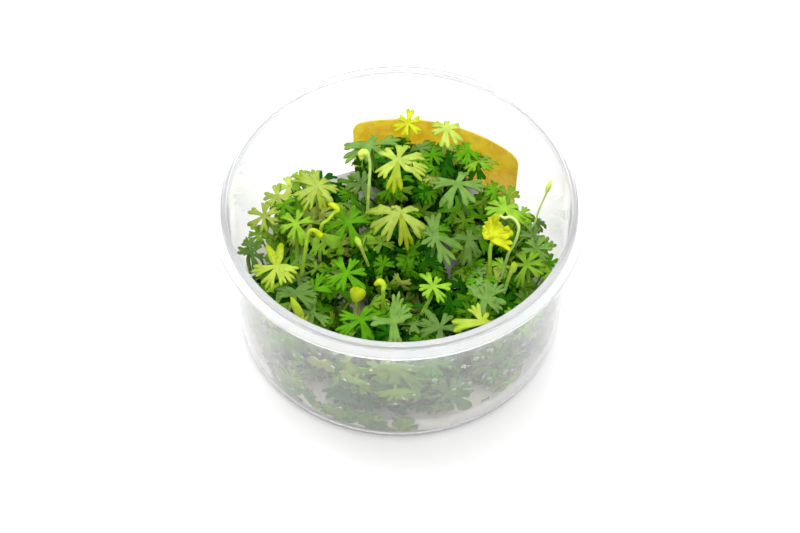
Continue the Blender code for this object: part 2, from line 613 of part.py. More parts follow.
def make_leaf(leaf, tree, collections):
    hub = Vector(leaf.place) * MM
    lean = Matrix.Rotation(math.radians(leaf.lean), 3, "Z")
    tilt = Matrix.Rotation(math.radians(leaf.tilt), 3, "Y")
    frame = lean @ tilt @ lean.inverted()
    outline = blade_outline(leaf.radius * MM, leaf.fingers)
    down = frame @ Vector((0, 0, -1))
    if leaf.stalk:
        points = [Vector(point) * MM for point in leaf.stalk]
        stalk = [hub, *points[:-1], foot_near(tree, points[-1])]
    else:
        stalk = stalk_points(hub, down, foot_near(tree, hub + down * STALK_LENGTH))
    return leaf_solid(leaf.name, hub, frame, outline, leaf.radius * MM, leaf.droop, tree, stalk, leaf.tint,
                      collections)


def make_wall_leaf(leaf, tree, collections):
    """A leaf that lies flat against the inside of the wall, its upper face to the wall."""
    height = leaf.height * MM
    radius = inner_radius(height) - WALL_CLEARANCE
    azimuth = math.radians(leaf.azimuth)
    hub = Vector((radius * math.cos(azimuth), radius * math.sin(azimuth), height))
    frame = Matrix.Rotation(azimuth, 3, "Z") @ Matrix.Rotation(math.radians(90), 3, "Y")
    outline = blade_outline(leaf.radius * MM, leaf.fingers)
    inward = frame @ Vector((0, 0, -1))
    stalk = stalk_points(hub, inward, foot_near(tree, hub))
    return leaf_solid(leaf.name, hub, frame, outline, leaf.radius * MM, 0.0, None, stalk, leaf.tint,
                      collections)


def make_young_leaf(young, tree, collection):
    points = [Vector(point[:3]) * MM for point in young.points]
    points[0] = foot_near(tree, points[0])
    thicknesses = [point[3] for point in young.points]
    material = make_material(young.name, TINTS[young.tint], 0.4)
    return tube(young.name, points, thicknesses, 1, material, collection)


def main():
    clear_scene()
    parts = make_collection("river_buttercup_cup")
    joiners = make_collection("joined_stalks")
    make_cup(parts)
    make_label(parts)
    make_gel(parts)
    tree = surface_tree(make_clumps(parts))
    for leaf in LEAVES:
        make_leaf(leaf, tree, (parts, joiners))
    for leaf in WALL_LEAVES:
        make_wall_leaf(leaf, tree, (parts, joiners))
    for young in YOUNG:
        make_young_leaf(young, tree, parts)


main()
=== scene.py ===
"""The looks of a river buttercup grown in tissue culture, in its open round clear cup.

Everything is in metres and in the frame's axes: +Z up, the origin in the middle of the cup's underside, and
+Y away from the camera. The tables of leaves are in millimetres and degrees. LEAVES and YOUNG have the same
shapes as in the part, though not always its tints. WALL_LEAVES has been fitted to the photo since, and
differs from the part.
"""

import math
import random
from collections import namedtuple

import bmesh
import bpy
from mathutils import Matrix, Vector, noise
from mathutils.bvhtree import BVHTree
from mathutils.geometry import intersect_point_line


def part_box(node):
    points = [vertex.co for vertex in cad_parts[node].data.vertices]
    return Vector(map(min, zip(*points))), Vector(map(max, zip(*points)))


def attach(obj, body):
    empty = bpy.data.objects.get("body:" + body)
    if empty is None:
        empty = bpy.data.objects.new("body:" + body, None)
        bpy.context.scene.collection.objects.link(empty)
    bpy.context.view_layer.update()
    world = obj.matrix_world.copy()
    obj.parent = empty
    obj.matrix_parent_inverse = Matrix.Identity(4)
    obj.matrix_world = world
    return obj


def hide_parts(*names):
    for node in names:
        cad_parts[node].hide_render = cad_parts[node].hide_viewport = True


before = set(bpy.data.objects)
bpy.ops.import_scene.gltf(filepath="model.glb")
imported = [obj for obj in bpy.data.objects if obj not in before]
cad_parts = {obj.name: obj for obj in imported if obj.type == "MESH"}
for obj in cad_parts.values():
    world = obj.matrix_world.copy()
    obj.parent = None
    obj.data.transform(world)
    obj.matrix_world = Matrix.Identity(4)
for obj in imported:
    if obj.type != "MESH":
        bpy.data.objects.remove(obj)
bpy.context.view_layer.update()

MM = 0.001

# The camera, which looks down on the cup
CAMERA_DISTANCE = 0.5
CAMERA_ELEVATION = 53.68
CAMERA_TARGET = (0.00016, 0.0, 0.01828)
CAMERA_LENS = 80.75
SENSOR_WIDTH = 36.0

# The cup, with the part's sizes, but more steps and softer edges
CUP_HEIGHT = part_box("cup")[1].z
FLANGE_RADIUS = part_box("cup")[1].x
FLANGE_TOP = 47.4 * MM
FLANGE_THICKNESS = 1.0 * MM
FLANGE_ROUNDING = 0.35 * MM
LIP_OUTER_RADIUS = 47.3 * MM
LIP_INNER_RADIUS = 45.8 * MM
LIP_ROUNDING = 0.35 * MM
WALL_THICKNESS = 1.0 * MM
FLOOR_THICKNESS = 1.2 * MM
WALL_RADIUS_LOW = 45.6 * MM
WALL_RADIUS_HIGH = 47.0 * MM
CORNER_RADIUS = 4.0 * MM
CUP_STEPS = 192
WALL_CLEARANCE = 0.6 * MM

# The label
LABEL_ANGLES = (42.4, 107.0)
LABEL_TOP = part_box("label")[1].z
LABEL_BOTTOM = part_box("label")[0].z
LABEL_THICKNESS = 0.3 * MM
LABEL_GAP = 0.3 * MM
LABEL_CORNER = 3.0 * MM
LABEL_COLUMNS = 72
LABEL_ROWS = 24

# The gel
GEL_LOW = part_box("gel")[0].z
GEL_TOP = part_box("gel")[1].z
GEL_GAP = 0.3 * MM
GEL_STEPS = 96
GEL_CREEP = 0.6 * MM
GEL_LUMPS = 0.5 * MM
GEL_CLEARANCE = 0.5 * MM

# The blades of leaves
BLADE_THICKNESS = 0.28 * MM
STALK_RADIUS = 0.45 * MM
TOP_THICKNESS = 0.8
FOOT_THICKNESS = 1.2
HOOK_THICKNESS = 1.8
STALK_LENGTH = 6.0 * MM
STALK_BEND_SHARE = 0.45
STALK_DEPTH = 3.0 * MM
SINUS_SHARE = 0.13
JOINED_SHARE = 0.22
JOINED_BELOW = 50.0
JOINED_OVER = 20.0
FUSED_SHARE = 0.65
FUSED_BELOW = 26.0
FUSED_OVER = 10.0
SPLIT_SHARES = (0.54, 0.64)
SPLIT_PAST_SINUS = 1.06
SPLIT_LIMIT = 0.93
NECK_WIDENING = 1.5
FINGER_CUP = (0.05, 0.35)
FINGER_TWIST = 0.25
FINGER_PITCH = 0.10
LOBE_REACH = (0.93, 1.03)
LOBE_WIDTHS = (0.9, 1.1)
LOBE_CURL = 0.06
LOBE_EDGE_RISE = 0.15
LOBE_TAPER = (2.2, 0.8)
SIDE_LOBE_SHARE = 0.88
WEDGE_SHARE_OF_GAP = 0.38
TIP_SPREAD = 1.12
SINUS_LIMIT = 0.85
LOBE_FILL = 0.62
FUSED_FILL = 0.3
FUSED_WIDENING = 0.12
LOBE_WIDEST = 0.40
DROOP_AT_HUB = 0.35
WALL_DROOP = 6.0
SMALL_WALL_DROOP = 3.0
KNOB_SIDES = 16
KNOB_RINGS = 8

Detail = namedtuple("Detail", "neck_rows lobe_rows stalk_sides stalk_rings lobes half_angle lobe_most")
FINE = Detail(5, (0.18, 0.38, 0.58, 0.76, 0.90, 0.97), 10, 14, (2, 3, 3), 16.5, 0.11)
BROAD = FINE._replace(half_angle=22.0, lobe_most=0.17)
COARSE = Detail(1, (0.42, 0.84), 4, 6, (2, 2, 3), 20.0, 0.11)
PLAIN = COARSE._replace(stalk_rings=5, lobes=(2,), half_angle=22.0)

# A finger is its azimuth alone, or with its share of the leaf's radius and how many lobes it has, if not two
Leaf = namedtuple("Leaf", "name place radius fingers tilt lean droop tint stalk", defaults=((),))
LEAVES = (
    Leaf("leaf_back_lime", (-0.4, 17.1, 44), 10.0, ((27, 1), (79, 1.02), (132, 0.78), (218, 0.78, 3),
        (262, 0.99, 3), (328, 0.98), (352, 1)), 0, 0, 20, "lime"),
    Leaf("leaf_back_far", (13.2, 29.5, 43), 9.0, ((20, 0.5), (90, 0.42), (145, 0.6, 3), (195, 0.55),
        (262, 0.75), (312, 0.72)), 5, 270, 20, "lime"),
    Leaf("leaf_back_top", (2.4, 32.2, 42), 5.0, ((25, 0.9), (80, 1), (140, 0.8), (200, 1), (255, 0.9),
        (320, 1)), 20, 270, 8, "yellow"),
    Leaf("leaf_back_blue", (16, 13, 39), 9.0, ((0, 0.9, 3), (70, 0.75), (165, 0.95, 3), (235, 1),
        (300, 0.9)), 5, 200, 20, "blue"),
    Leaf("leaf_back_grey", (-8, 26, 40), 9.5, ((20, 0.95, 3), (75, 0.5), (178, 0.95), (208, 1.05),
        (250, 0.7), (320, 0.6)), 0, 0, 14, "blue"),
    Leaf("leaf_back_bright", (22, 23.5, 36), 6.5, (0, 60, 120, 180, 240, 300), 30, 90, 5, "pale"),
    Leaf("leaf_middle_lime", (0.2, 0.4, 42), 11.3, ((38, 0.6), (118, 0.4), (155, 1.1, 1), (194, 1),
        (232, 0.84), (284, 0.92, 3), (328, 0.88)), 0, 0, 34, "lime"),
    Leaf("leaf_middle_blue", (9.5, -5.8, 39.5), 9.3, ((94, 1.03, 3), (137, 0.47), (205, 0.46, 1),
        (246, 0.44), (294, 1.05, 3), (342, 0.88, 1)), 0, 0, 8, "blue"),
    Leaf("leaf_middle_grey", (19, -3, 35), 8.0, ((20, 0.6), (90, 0.6), (160, 0.8), (262, 1.1), (300, 0.8)),
        10, 270, 28, "blue"),
    Leaf("leaf_middle_dark", (-14, 3.2, 34.5), 8.3, ((15, 0.9, 3), (60, 0.8), (130, 0.8), (185, 1, 3),
        (235, 0.9), (290, 1)), 8, 250, 16, "green"),
    Leaf("leaf_middle_small", (8.8, -22.3, 40), 6.0, ((62, 0.7), (113, 1.2), (187, 0.72), (232, 0.75),
        (301, 0.94, 3), (359, 0.92)), 0, 0, 10, "pale"),
    Leaf("leaf_left_lime", (-22.2, 11.3, 40), 10.0, ((2, 0.64, 3), (56, 0.55), (103, 0.96, 3), (141, 1, 3),
        (205, 0.82), (242, 0.83, 3), (284, 0.8), (311, 0.66, 1)), 0, 0, 20, "lime"),
    Leaf("leaf_left_yellow", (-32.5, -13.6, 37), 7.9, ((85, 1.12, 1), (113, 1.05, 1), (193, 0.93, 3),
        (245, 0.98, 3), (290, 0.84), (319, 0.88), (351, 0.88)), 6, 270, 8, "olive"),
    Leaf("leaf_left_small", (-37, 5, 35), 6.0, ((30, 0.9), (85, 1, 3), (150, 0.9), (215, 1), (270, 0.9),
        (330, 0.8)), 12, 250, 16, "lime"),
    Leaf("leaf_left_grey", (-27.5, -21, 35), 7.5, ((5, 0.9, 3), (40, 0.9), (150, 0.9), (185, 0.8),
        (262, 0.8), (325, 0.9)), 5, 270, 10, "blue"),
    Leaf("leaf_left_mid", (-28, 1.1, 36.6), 6.8, ((20, 0.8), (75, 0.9), (135, 1), (195, 0.9), (250, 0.8),
        (295, 1.1)), 10, 250, 18, "pale"),
    Leaf("leaf_left_wall", (-40, -5, 31), 4.8, (0, 60, 120, 180, 300), 45, 330, 4, "blue"),
    Leaf("leaf_right_pale", (28.8, 6.3, 36.5), 8.2, ((25, 0.55), (100, 0.7), (138, 0.78), (184, 0.8),
        (226, 0.7), (313, 1), (344, 0.88)), 0, 0, 12, "pale"),
    Leaf("leaf_right_blue", (22.7, -25, 38), 9.0, ((49, 0.85, 3), (90, 0.76, 1), (105, 0.93), (129, 0.92),
        (249, 0.68), (318, 0.68), (352, 0.62, 1)), 0, 0, 6, "blue"),
    Leaf("leaf_right_mid", (34, -12, 35.5), 6.8, ((10, 0.9), (60, 1), (110, 1), (170, 0.8), (240, 1, 3),
        (315, 0.9)), 10, 200, 14, "pale"),
    Leaf("leaf_right_wall", (37, -4.8, 33), 5.2, (0, 60, 120, 180, 240, 300), 20, 190, 6, "blue"),
    Leaf("leaf_front_blue", (-1.6, -33.5, 40), 8.8, ((22, 0.62, 1), (50, 0.84), (80, 1.05, 3), (179, 0.78),
        (275, 0.85, 3)), 6, 270, 4, "blue"),
    Leaf("leaf_front_lime", (21.2, -35.2, 42.5), 8.3, ((60, 0.4, 1), (112, 0.85, 3), (187, 1.1),
        (343, 0.4, 1)), 0, 0, 8, "olive"),
    Leaf("leaf_front_green", (10.5, -34, 38), 7.0, ((0, 1), (60, 0.9), (125, 1, 1), (155, 1), (195, 0.9),
        (270, 1)), 8, 270, 10, "blue"),
    Leaf("leaf_front_mid", (-10, -31, 37.5), 8.0, ((10, 0.9), (60, 0.7), (165, 0.8, 3), (215, 1, 3),
        (290, 1)), 8, 260, 10, "green"),
    Leaf("leaf_front_left", (-14, -15.5, 36.5), 7.5, ((10, 0.8), (65, 0.8, 3), (120, 1), (205, 0.9, 3),
        (250, 0.8), (310, 1)), 6, 270, 14, "green"),
    Leaf("young_leaf_hook", (-20.8, -7, 41.5), 7.6, ((250, 0.95), (277, 0.84), (303, 1), (321, 1.04, 1)),
        62, 280, -6, "pale", ((-22.1, -6.6, 43), (-23.2, -6.4, 43.3), (-24, -6.8, 43), (-24.5, -7.7, 41.5),
        (-25, -9.4, 38.5), (-25.3, -11.4, 34.5))),
    Leaf("young_leaf_hood", (24.4, -6.4, 40.5), 7.3, ((10, 0.82, 1), (26, 0.8, 1), (42, 0.62, 1),
        (60, 0.68, 1), (76, 0.86, 1), (92, 0.76, 1), (108, 0.64, 1), (124, 0.52, 1), (140, 0.43, 1),
        (156, 0.35, 1), (333, 1)), 38, 270, -18, "yellow", ((24.7, -7.3, 39.4), (24.2, -9, 37),
        (23.2, -12.1, 33))),
)

# Fingers that have turned yellow, by their azimuths
YELLOW_FINGERS = {"leaf_back_lime": (262,), "leaf_middle_lime": (284,), "leaf_left_lime": (284,),
                  "leaf_left_yellow": (85, 113), "leaf_front_lime": (60,)}

WallLeaf = namedtuple("WallLeaf", "name azimuth height radius fingers tint")
WALL_LEAVES = (
    WallLeaf("leaf_wall_lime", 243.6, 31.7, 6.2, ((-80, 0.7, 1), (-62, 0.82, 1), (-44, 0.7, 1),
        (-20, 0.5, 1), (10, 0.45, 1), (36, 0.55, 1), (58, 0.72, 1), (76, 0.6, 1)), "lime"),
    WallLeaf("leaf_wall_left", 255.5, 28.5, 4.6, ((-86, 0.7, 1), (-68, 0.8, 1), (-48, 0.62, 1),
        (-24, 0.5, 1), (4, 0.5, 1), (28, 0.62, 1), (48, 0.86, 1), (66, 0.8, 1)), "fresh"),
    WallLeaf("leaf_wall_front", 268.3, 37.3, 11.5, ((-62, 1.05, 3), (-30, 1), (0, 1.02), (36, 1.12, 3),
        (72, 0.8)), "pale"),
    WallLeaf("leaf_wall_cupped", 268.5, 24.8, 5.8, ((-76, 0.95, 1), (-47, 1.02, 1), (-19, 0.98, 1),
        (9, 1, 1), (37, 1.08, 1), (64, 1.15, 1), (84, 0.85, 1)), "fresh"),
    WallLeaf("leaf_wall_star", 287, 21.0, 11.5, ((-24, 1.1, 1), (1, 1.25, 1), (26, 1.25, 1), (56, 0.8),
        (110, 0.7), (160, 0.7), (-150, 0.7)), "blue"),
    WallLeaf("leaf_wall_dark", 311.5, 11.5, 5.2, ((-100, 1, 1), (-80, 0.95, 1), (80, 0.95, 1), (100, 1, 1)),
        "pale"),
    WallLeaf("leaf_wall_right", 302, 29.0, 6.5, (-120, -60, 0, 50, 110, 180), "blue"),
    WallLeaf("leaf_wall_low", 230, 15.0, 5.0, (-110, -55, 0, 50, 115, 180), "pale"),
)
# Shreds of leaf on the inside of the front wall: azimuth, height, radius and tint
WALL_SHREDS = ((281.4, 20.7, 2.8, "pale"), (280.1, 16.0, 1.7, "blue"), (301.2, 9.8, 1.5, "blue"))

Young = namedtuple("Young", "name points tint")
YOUNG = (
    Young("young_leaf_knob_back", ((-9.2, 8.5, 33, 1), (-8.3, 12.4, 39, 1), (-8, 15.7, 42.3, 0.9),
        (-8.3, 17.9, 44, 1), (-9.2, 19, 44.6, 2.2), (-10.3, 19.2, 44, 2.7), (-10.3, 18.6, 43, 1.2)), "bud"),
    Young("young_leaf_knob_left", ((-21.6, -3, 34, 1), (-21.1, -1.6, 38, 1), (-19.2, -0.1, 39.5, 1),
        (-17.6, 1.5, 40.6, 1.1), (-16.6, 1.9, 41.3, 1.5), (-17.6, 2.9, 41.8, 1.9), (-18.8, 3.5, 41.8, 1.2)),
        "knob"),
    Young("young_leaf_stalk_right", ((27.7, -12.1, 34, 0.9), (29, -9.6, 36.5, 0.9), (30.3, -8.1, 38.5, 0.9),
        (31.3, -6.6, 40.5, 0.9), (31.8, -4.9, 42.2, 0.9), (31.1, -3.3, 43.2, 0.9), (29.5, -2.3, 43.7, 0.9),
        (27.9, -2.7, 43.8, 0.9), (26.8, -1.9, 44, 0.6)), "stalk"),
    Young("young_leaf_small", ((-4.3, -24, 34, 1.2), (-4.3, -23.2, 38.5, 1.3), (-4.1, -22.2, 40, 1.6),
        (-5.1, -21.4, 40.6, 2.0), (-6.3, -21.6, 39.8, 1.1)), "knob"),
    Young("young_leaf_disc", ((-11.6, -24.5, 33, 1.2), (-11.4, -24.4, 37, 1.2), (-11.2, -25, 38.6, 3.2),
        (-11, -25.1, 40, 4.6), (-10.9, -24.9, 41.2, 4.2), (-10.9, -24.6, 42, 1.6)), "tipped"),
    Young("leaf_front_yellow", ((-24.6, -32.4, 35, 1), (-25, -32, 37.5, 1.2), (-25.7, -31.2, 39.5, 2.3),
        (-26.7, -30.1, 41.5, 2.4), (-27.6, -28.8, 42.9, 1.2), (-28, -28.3, 43.5, 0.4)), "tipped"),
    Young("young_leaf_right", ((28, -17.2, 32, 1), (29.3, -16.2, 36.5, 1.1), (30, -15.7, 38.3, 2.0),
        (30.2, -15.2, 39.8, 1.7), (30.2, -15, 40.6, 0.6)), "lime"),
    Young("young_leaf_middle", ((-9.4, -8.6, 33, 0.9), (-10.2, -8, 37.4, 1), (-11.1, -6.9, 39, 1.9),
        (-11.6, -6.2, 39.8, 0.9)), "lime"),
    Young("bud_on_stalk", ((35.2, 0, 29, 0.65), (36.3, 2.1, 34, 0.6), (38, 5.2, 37.5, 0.55),
        (39.6, 7.6, 40.6, 0.6), (40.2, 8.6, 42, 1.4), (40.6, 9.3, 43, 1.4), (41, 9.9, 44, 0.6)), "bud"),
)

# The tints of leaves: near the stalk, at the tips, and along the veins
Tint = namedtuple("Tint", "slot near tip vein roughness", defaults=(0.5,))
TINTS = {
    "lime": Tint("lime_leaf", (0.34, 0.45, 0.065), (0.25, 0.36, 0.010), (0.42, 0.52, 0.11)),
    "olive": Tint("lime_leaf", (0.29, 0.38, 0.040), (0.19, 0.29, 0.006), (0.36, 0.45, 0.07)),
    "tipped": Tint("lime_leaf", (0.27, 0.36, 0.025), (0.24, 0.31, 0.001), (0.31, 0.39, 0.02)),
    # partly painted light: the young leaves' own yellow, made brighter still to make up for the light they
    # lose by leaning towards the camera
    "yellow": Tint("yellow_young_leaf", (0.62, 0.70, 0.018), (0.52, 0.58, 0.002), (0.68, 0.75, 0.03), 0.45),
    "knob": Tint("yellow_young_leaf", (0.26, 0.42, 0.03), (0.46, 0.53, 0.006), (0.50, 0.57, 0.05), 0.45),
    "stalk": Tint("lime_leaf", (0.32, 0.46, 0.13), (0.58, 0.66, 0.26), (0.58, 0.66, 0.26), 0.45),
    "bud": Tint("lime_leaf", (0.30, 0.43, 0.10), (0.62, 0.78, 0.08), (0.66, 0.82, 0.14), 0.45),
    "pale": Tint("green_leaf", (0.19, 0.37, 0.022), (0.12, 0.29, 0.004), (0.26, 0.44, 0.04)),
    "fresh": Tint("green_leaf", (0.21, 0.40, 0.015), (0.15, 0.32, 0.003), (0.30, 0.48, 0.03)),
    "green": Tint("green_leaf", (0.080, 0.262, 0.002), (0.055, 0.21, 0.001), (0.14, 0.34, 0.008)),
    "blue": Tint("blue_green_leaf", (0.120, 0.235, 0.044), (0.120, 0.235, 0.036), (0.16, 0.27, 0.05), 0.6),
    # painted shade: a near-black green, darker than the leaves' own colour, for leaves that lie in the shade
    # deep in the clumps
    "deep": Tint("undergrowth", (0.012, 0.110, 0.000), (0.006, 0.072, 0.000), (0.025, 0.15, 0.001)),
}
LEAF_SHINE = 0.05

# The growth in each clump, in layers at its surface and below it, with the shares of tints in each
CLUMPS = ("clump_back", "clump_back_left", "clump_front_left", "clump_front", "clump_front_right",
          "clump_back_right", "clump_middle")
Layer = namedtuple("Layer", "count depth radii detail shares")
# painted shade: the lower layers take more of the near-black green tint, so the growth darkens with depth
LAYERS = (
    Layer(72, 1.2 * MM, (3.8 * MM, 6.6 * MM), COARSE,
          (("green", 0.42), ("pale", 0.20), ("lime", 0.12), ("blue", 0.12), ("deep", 0.14))),
    Layer(50, 4.5 * MM, (4.2 * MM, 6.6 * MM), PLAIN,
          (("green", 0.46), ("deep", 0.42), ("blue", 0.06), ("pale", 0.06))),
    Layer(26, 8.0 * MM, (4.5 * MM, 7.0 * MM), PLAIN, (("deep", 0.85), ("green", 0.15))),
)
# The tints at the surface of the two clumps that are seen against the light: painted light, paler than the
# tints elsewhere and without the near-black shade tint
BACKLIT_CLUMPS = ("clump_back_left", "clump_back_right")
PAINTED_BACKLIGHT_SHARES = (("green", 0.38), ("pale", 0.34), ("lime", 0.20), ("blue", 0.08))
WALL_ROOM = 0.8
# The blade of a small leaf: how many fingers, spread over how many degrees, and so on
SMALL_FINGERS = (4, 5, 5)
SMALL_SPAN = 300
SMALL_SWAY = 8
SMALL_REACH = (0.72, 1.0)
SMALL_DROOP = (4, 34)
# Leaves at the back and the sides stand lower near the wall
EDGE_REACH = (30 * MM, 42 * MM)
EDGE_SINK = 6 * MM
# A way through between the clumps: its ends and its radius
OPEN_WAY = ((-14.8, 14, 38), (-15.6, 34, 12), 1.5)
# Leaves that give the growth its outline against the light, by clump: place, radius and tint
OUTLINE_LEAVES = {
    "clump_back_left": (
        ((-30.5, 15.3, 35), 6.2, "lime"), ((-33.8, 13.0, 33.5), 5.6, "lime"),
        ((-27.7, 16.9, 36.5), 5.2, "pale"), ((-36.0, 4.4, 32), 5.4, "pale"),
        ((-31.7, 9.4, 34), 5.6, "green"), ((-28.5, 12.0, 33), 5.6, "green")),
    "clump_front_left": (
        ((-39.2, 2.0, 31), 4.6, "pale"), ((-40.8, -1.7, 30), 4.4, "blue")),
    "clump_back_right": (
        ((36.4, 0.2, 32), 5.2, "blue"), ((33.6, 7.0, 33), 5.4, "pale"), ((37.9, 6.2, 30.5), 5.0, "blue"),
        ((30.3, 13.4, 33), 4.8, "pale"), ((26.5, 15.5, 33), 4.6, "green")),
    "clump_front_right": (
        ((39.8, -3.4, 31), 5.2, "pale"), ((41.0, -7.1, 30), 4.4, "green"),
        ((40.4, -11.2, 31), 4.4, "pale")),
    "clump_back": (
        ((-10.8, 22.0, 28), 6.4, "blue"), ((-13.4, 20.0, 26), 5.6, "green"),
        # the last leaf here takes the near-black green painted-shade tint
        ((19.1, 25.7, 38), 5.4, "green"), ((21.9, 22.6, 34), 5.4, "deep")),
}
# Old leaves that lie low against the front wall: how many in which clumps, and the azimuths and heights
# between which they lie. Then where the gel stands back from the wall, and how far.
LOW_LEAVES = {"clump_front_left": 18, "clump_front": 30}
LOW_AZIMUTHS = (220.0, 272.0)
LOW_HEIGHTS = (4.5 * MM, 13 * MM)
LOW_FINGERS = (2, 3, 4)
LOW_FINGER_GAP = 70
LOW_REACH = (0.6, 1.0)
LOW_RADII = (3.0, 5.5)
GEL_HOLLOW_AZIMUTHS = (215.0, 284.0)
GEL_HOLLOW = 0.8 * MM
GROUND_LEAVES = 16
GROUND_HEIGHTS = (9.5 * MM, 19 * MM)
LEAF_SPACING = 2.3 * MM
CROWN_SHARE = 0.45


def clamp(share):
    return min(max(share, 0.0), 1.0)


def pointing(azimuth):
    """The flat vector of length 1 at an azimuth in radians."""
    return Vector((math.cos(azimuth), math.sin(azimuth)))


def value_layers(bm):
    """The values that the leaf materials read at each point, made once for a mesh."""
    floats = bm.verts.layers.float
    return [floats.get(name) or floats.new(name) for name in ("along", "rib", "tone")]


class Blade:
    """A divided blade under way: where its flat points go, and how it is bent."""

    def __init__(self, bm, hub, turn, radius, droop, held, rng):
        self.bm = bm
        self.layers = value_layers(bm)
        self.hub = hub
        self.turn = turn
        self.radius = radius
        self.droop = math.radians(droop)
        self.held = held
        self.tone = rng.random()
        self.wave = rng.uniform(0.02, 0.07)
        self.waves = rng.choice((2, 3))
        self.phase = rng.uniform(0, math.tau)
        self.faces = []

    def vert(self, flat, rib, lift=0.0):
        """A point of the flat blade, lifted off it, bent down towards the tips and set in place."""
        distance = flat.length
        share = distance / self.radius
        azimuth = math.atan2(flat.y, flat.x)
        height = lift + self.wave * distance * share * math.sin(self.waves * azimuth + self.phase)
        fall = self.droop * (DROOP_AT_HUB + (1 - DROOP_AT_HUB) * share)
        across = distance * math.cos(fall) + height * math.sin(fall)
        down = height * math.cos(fall) - distance * math.sin(fall)
        local = Vector((across * math.cos(azimuth), across * math.sin(azimuth), down))
        vert = self.bm.verts.new(self.held(self.hub + self.turn @ local))
        for layer, value in zip(self.layers, (share, rib, self.tone)):
            vert[layer] = value
        return vert

    def strip(self, first, second):
        """Faces between two rows of points, the second of which may be one point."""
        for i in range(len(first) - 1):
            if len(second) == 1:
                corners = (first[i + 1], first[i], second[0])
            else:
                corners = (first[i + 1], first[i], second[i], second[i + 1])
            self.faces.append(self.bm.faces.new(corners))


def lobe_half(t, base, widest):
    """A lobe's half width along its length: nearly even at first, then tapering to a point."""
    if t < LOBE_WIDEST:
        ease = t / LOBE_WIDEST
        return base + (widest - base) * ease * (2 - ease)
    late, blunt = LOBE_TAPER
    return widest * (1 - ((t - LOBE_WIDEST) / (1 - LOBE_WIDEST)) ** late) ** blunt


def grow_finger(blade, finger, ends, half_angle, fused, detail, rng):
    """One finger: a neck that widens from between two sinuses, then its lobes. Returns its first row."""
    out = pointing(math.radians(finger[0]))
    side = Vector((-out.y, out.x))
    radius = blade.radius * finger[1]
    lobes = rng.choice(detail.lobes)
    lobes = finger[2] or lobes
    columns = 2 * lobes
    (first_vert, first_flat), (last_vert, last_flat) = ends
    start = (first_flat + last_flat) / 2
    neck_half = (last_flat - first_flat).length / 2
    past_sinuses = (SPLIT_PAST_SINUS * first_flat.length, SPLIT_PAST_SINUS * last_flat.length)
    split = min(max(radius * rng.uniform(*SPLIT_SHARES), *past_sinuses), SPLIT_LIMIT * radius)
    split_half = split * math.tan(half_angle)
    split_place = out * split
    cup = rng.uniform(*FINGER_CUP)
    twist = rng.uniform(-FINGER_TWIST, FINGER_TWIST)
    pitch = rng.uniform(-FINGER_PITCH, FINGER_PITCH)

    def lift(u, half, distance):
        return half * (cup * u * u + twist * u) + pitch * distance * distance / radius

    def rib(column):
        return 0.0 if column % 2 else 1.0

    row = [first_vert]
    for j in range(1, columns):
        flat = first_flat.lerp(last_flat, j / columns)
        row.append(blade.vert(flat, rib(j), lift(2 * j / columns - 1, neck_half, flat.length)))
    row.append(last_vert)
    first_row = row
    for k in range(1, detail.neck_rows + 1):
        t = k / detail.neck_rows
        half = neck_half + (split_half - neck_half) * t**NECK_WIDENING
        centre = start.lerp(split_place, t)
        following = []
        for j in range(columns + 1):
            u = 2 * j / columns - 1
            following.append(blade.vert(centre + side * half * u, rib(j), lift(u, half, centre.length)))
        blade.strip(row, following)
        row = following
    spread = radius * math.tan(half_angle) * TIP_SPREAD
    for j in range(lobes):
        middle = (2 * j + 1) / lobes - 1
        reach = radius * (SIDE_LOBE_SHARE if abs(middle) > 0.1 else 1.0) * rng.uniform(*LOBE_REACH)
        base = split_place + side * split_half * middle
        tip = out * reach + side * spread * middle
        along = tip - base
        lean = Vector((-along.y, along.x)).normalized()
        fill = LOBE_FILL + FUSED_FILL * fused
        most = (detail.lobe_most + FUSED_WIDENING * fused) * blade.radius
        widest = min(fill * spread / lobes, most) * rng.uniform(*LOBE_WIDTHS)
        curl = rng.uniform(0.0, LOBE_CURL) * radius
        last = row[2 * j: 2 * j + 3]
        for t in detail.lobe_rows:
            half = lobe_half(t, split_half / lobes, widest)
            centre = base + along * t
            low = lift(middle, split_half, centre.length) - curl * t * t
            following = []
            for u in (-1, 0, 1):
                rise = LOBE_EDGE_RISE * half * abs(u)
                following.append(blade.vert(centre + lean * half * u, abs(u), low + rise))
            blade.strip(last, following)
            last = following
        low = lift(middle, split_half, tip.length) - curl
        blade.strip(last, [blade.vert(tip, 0.4, low)])
    return first_row


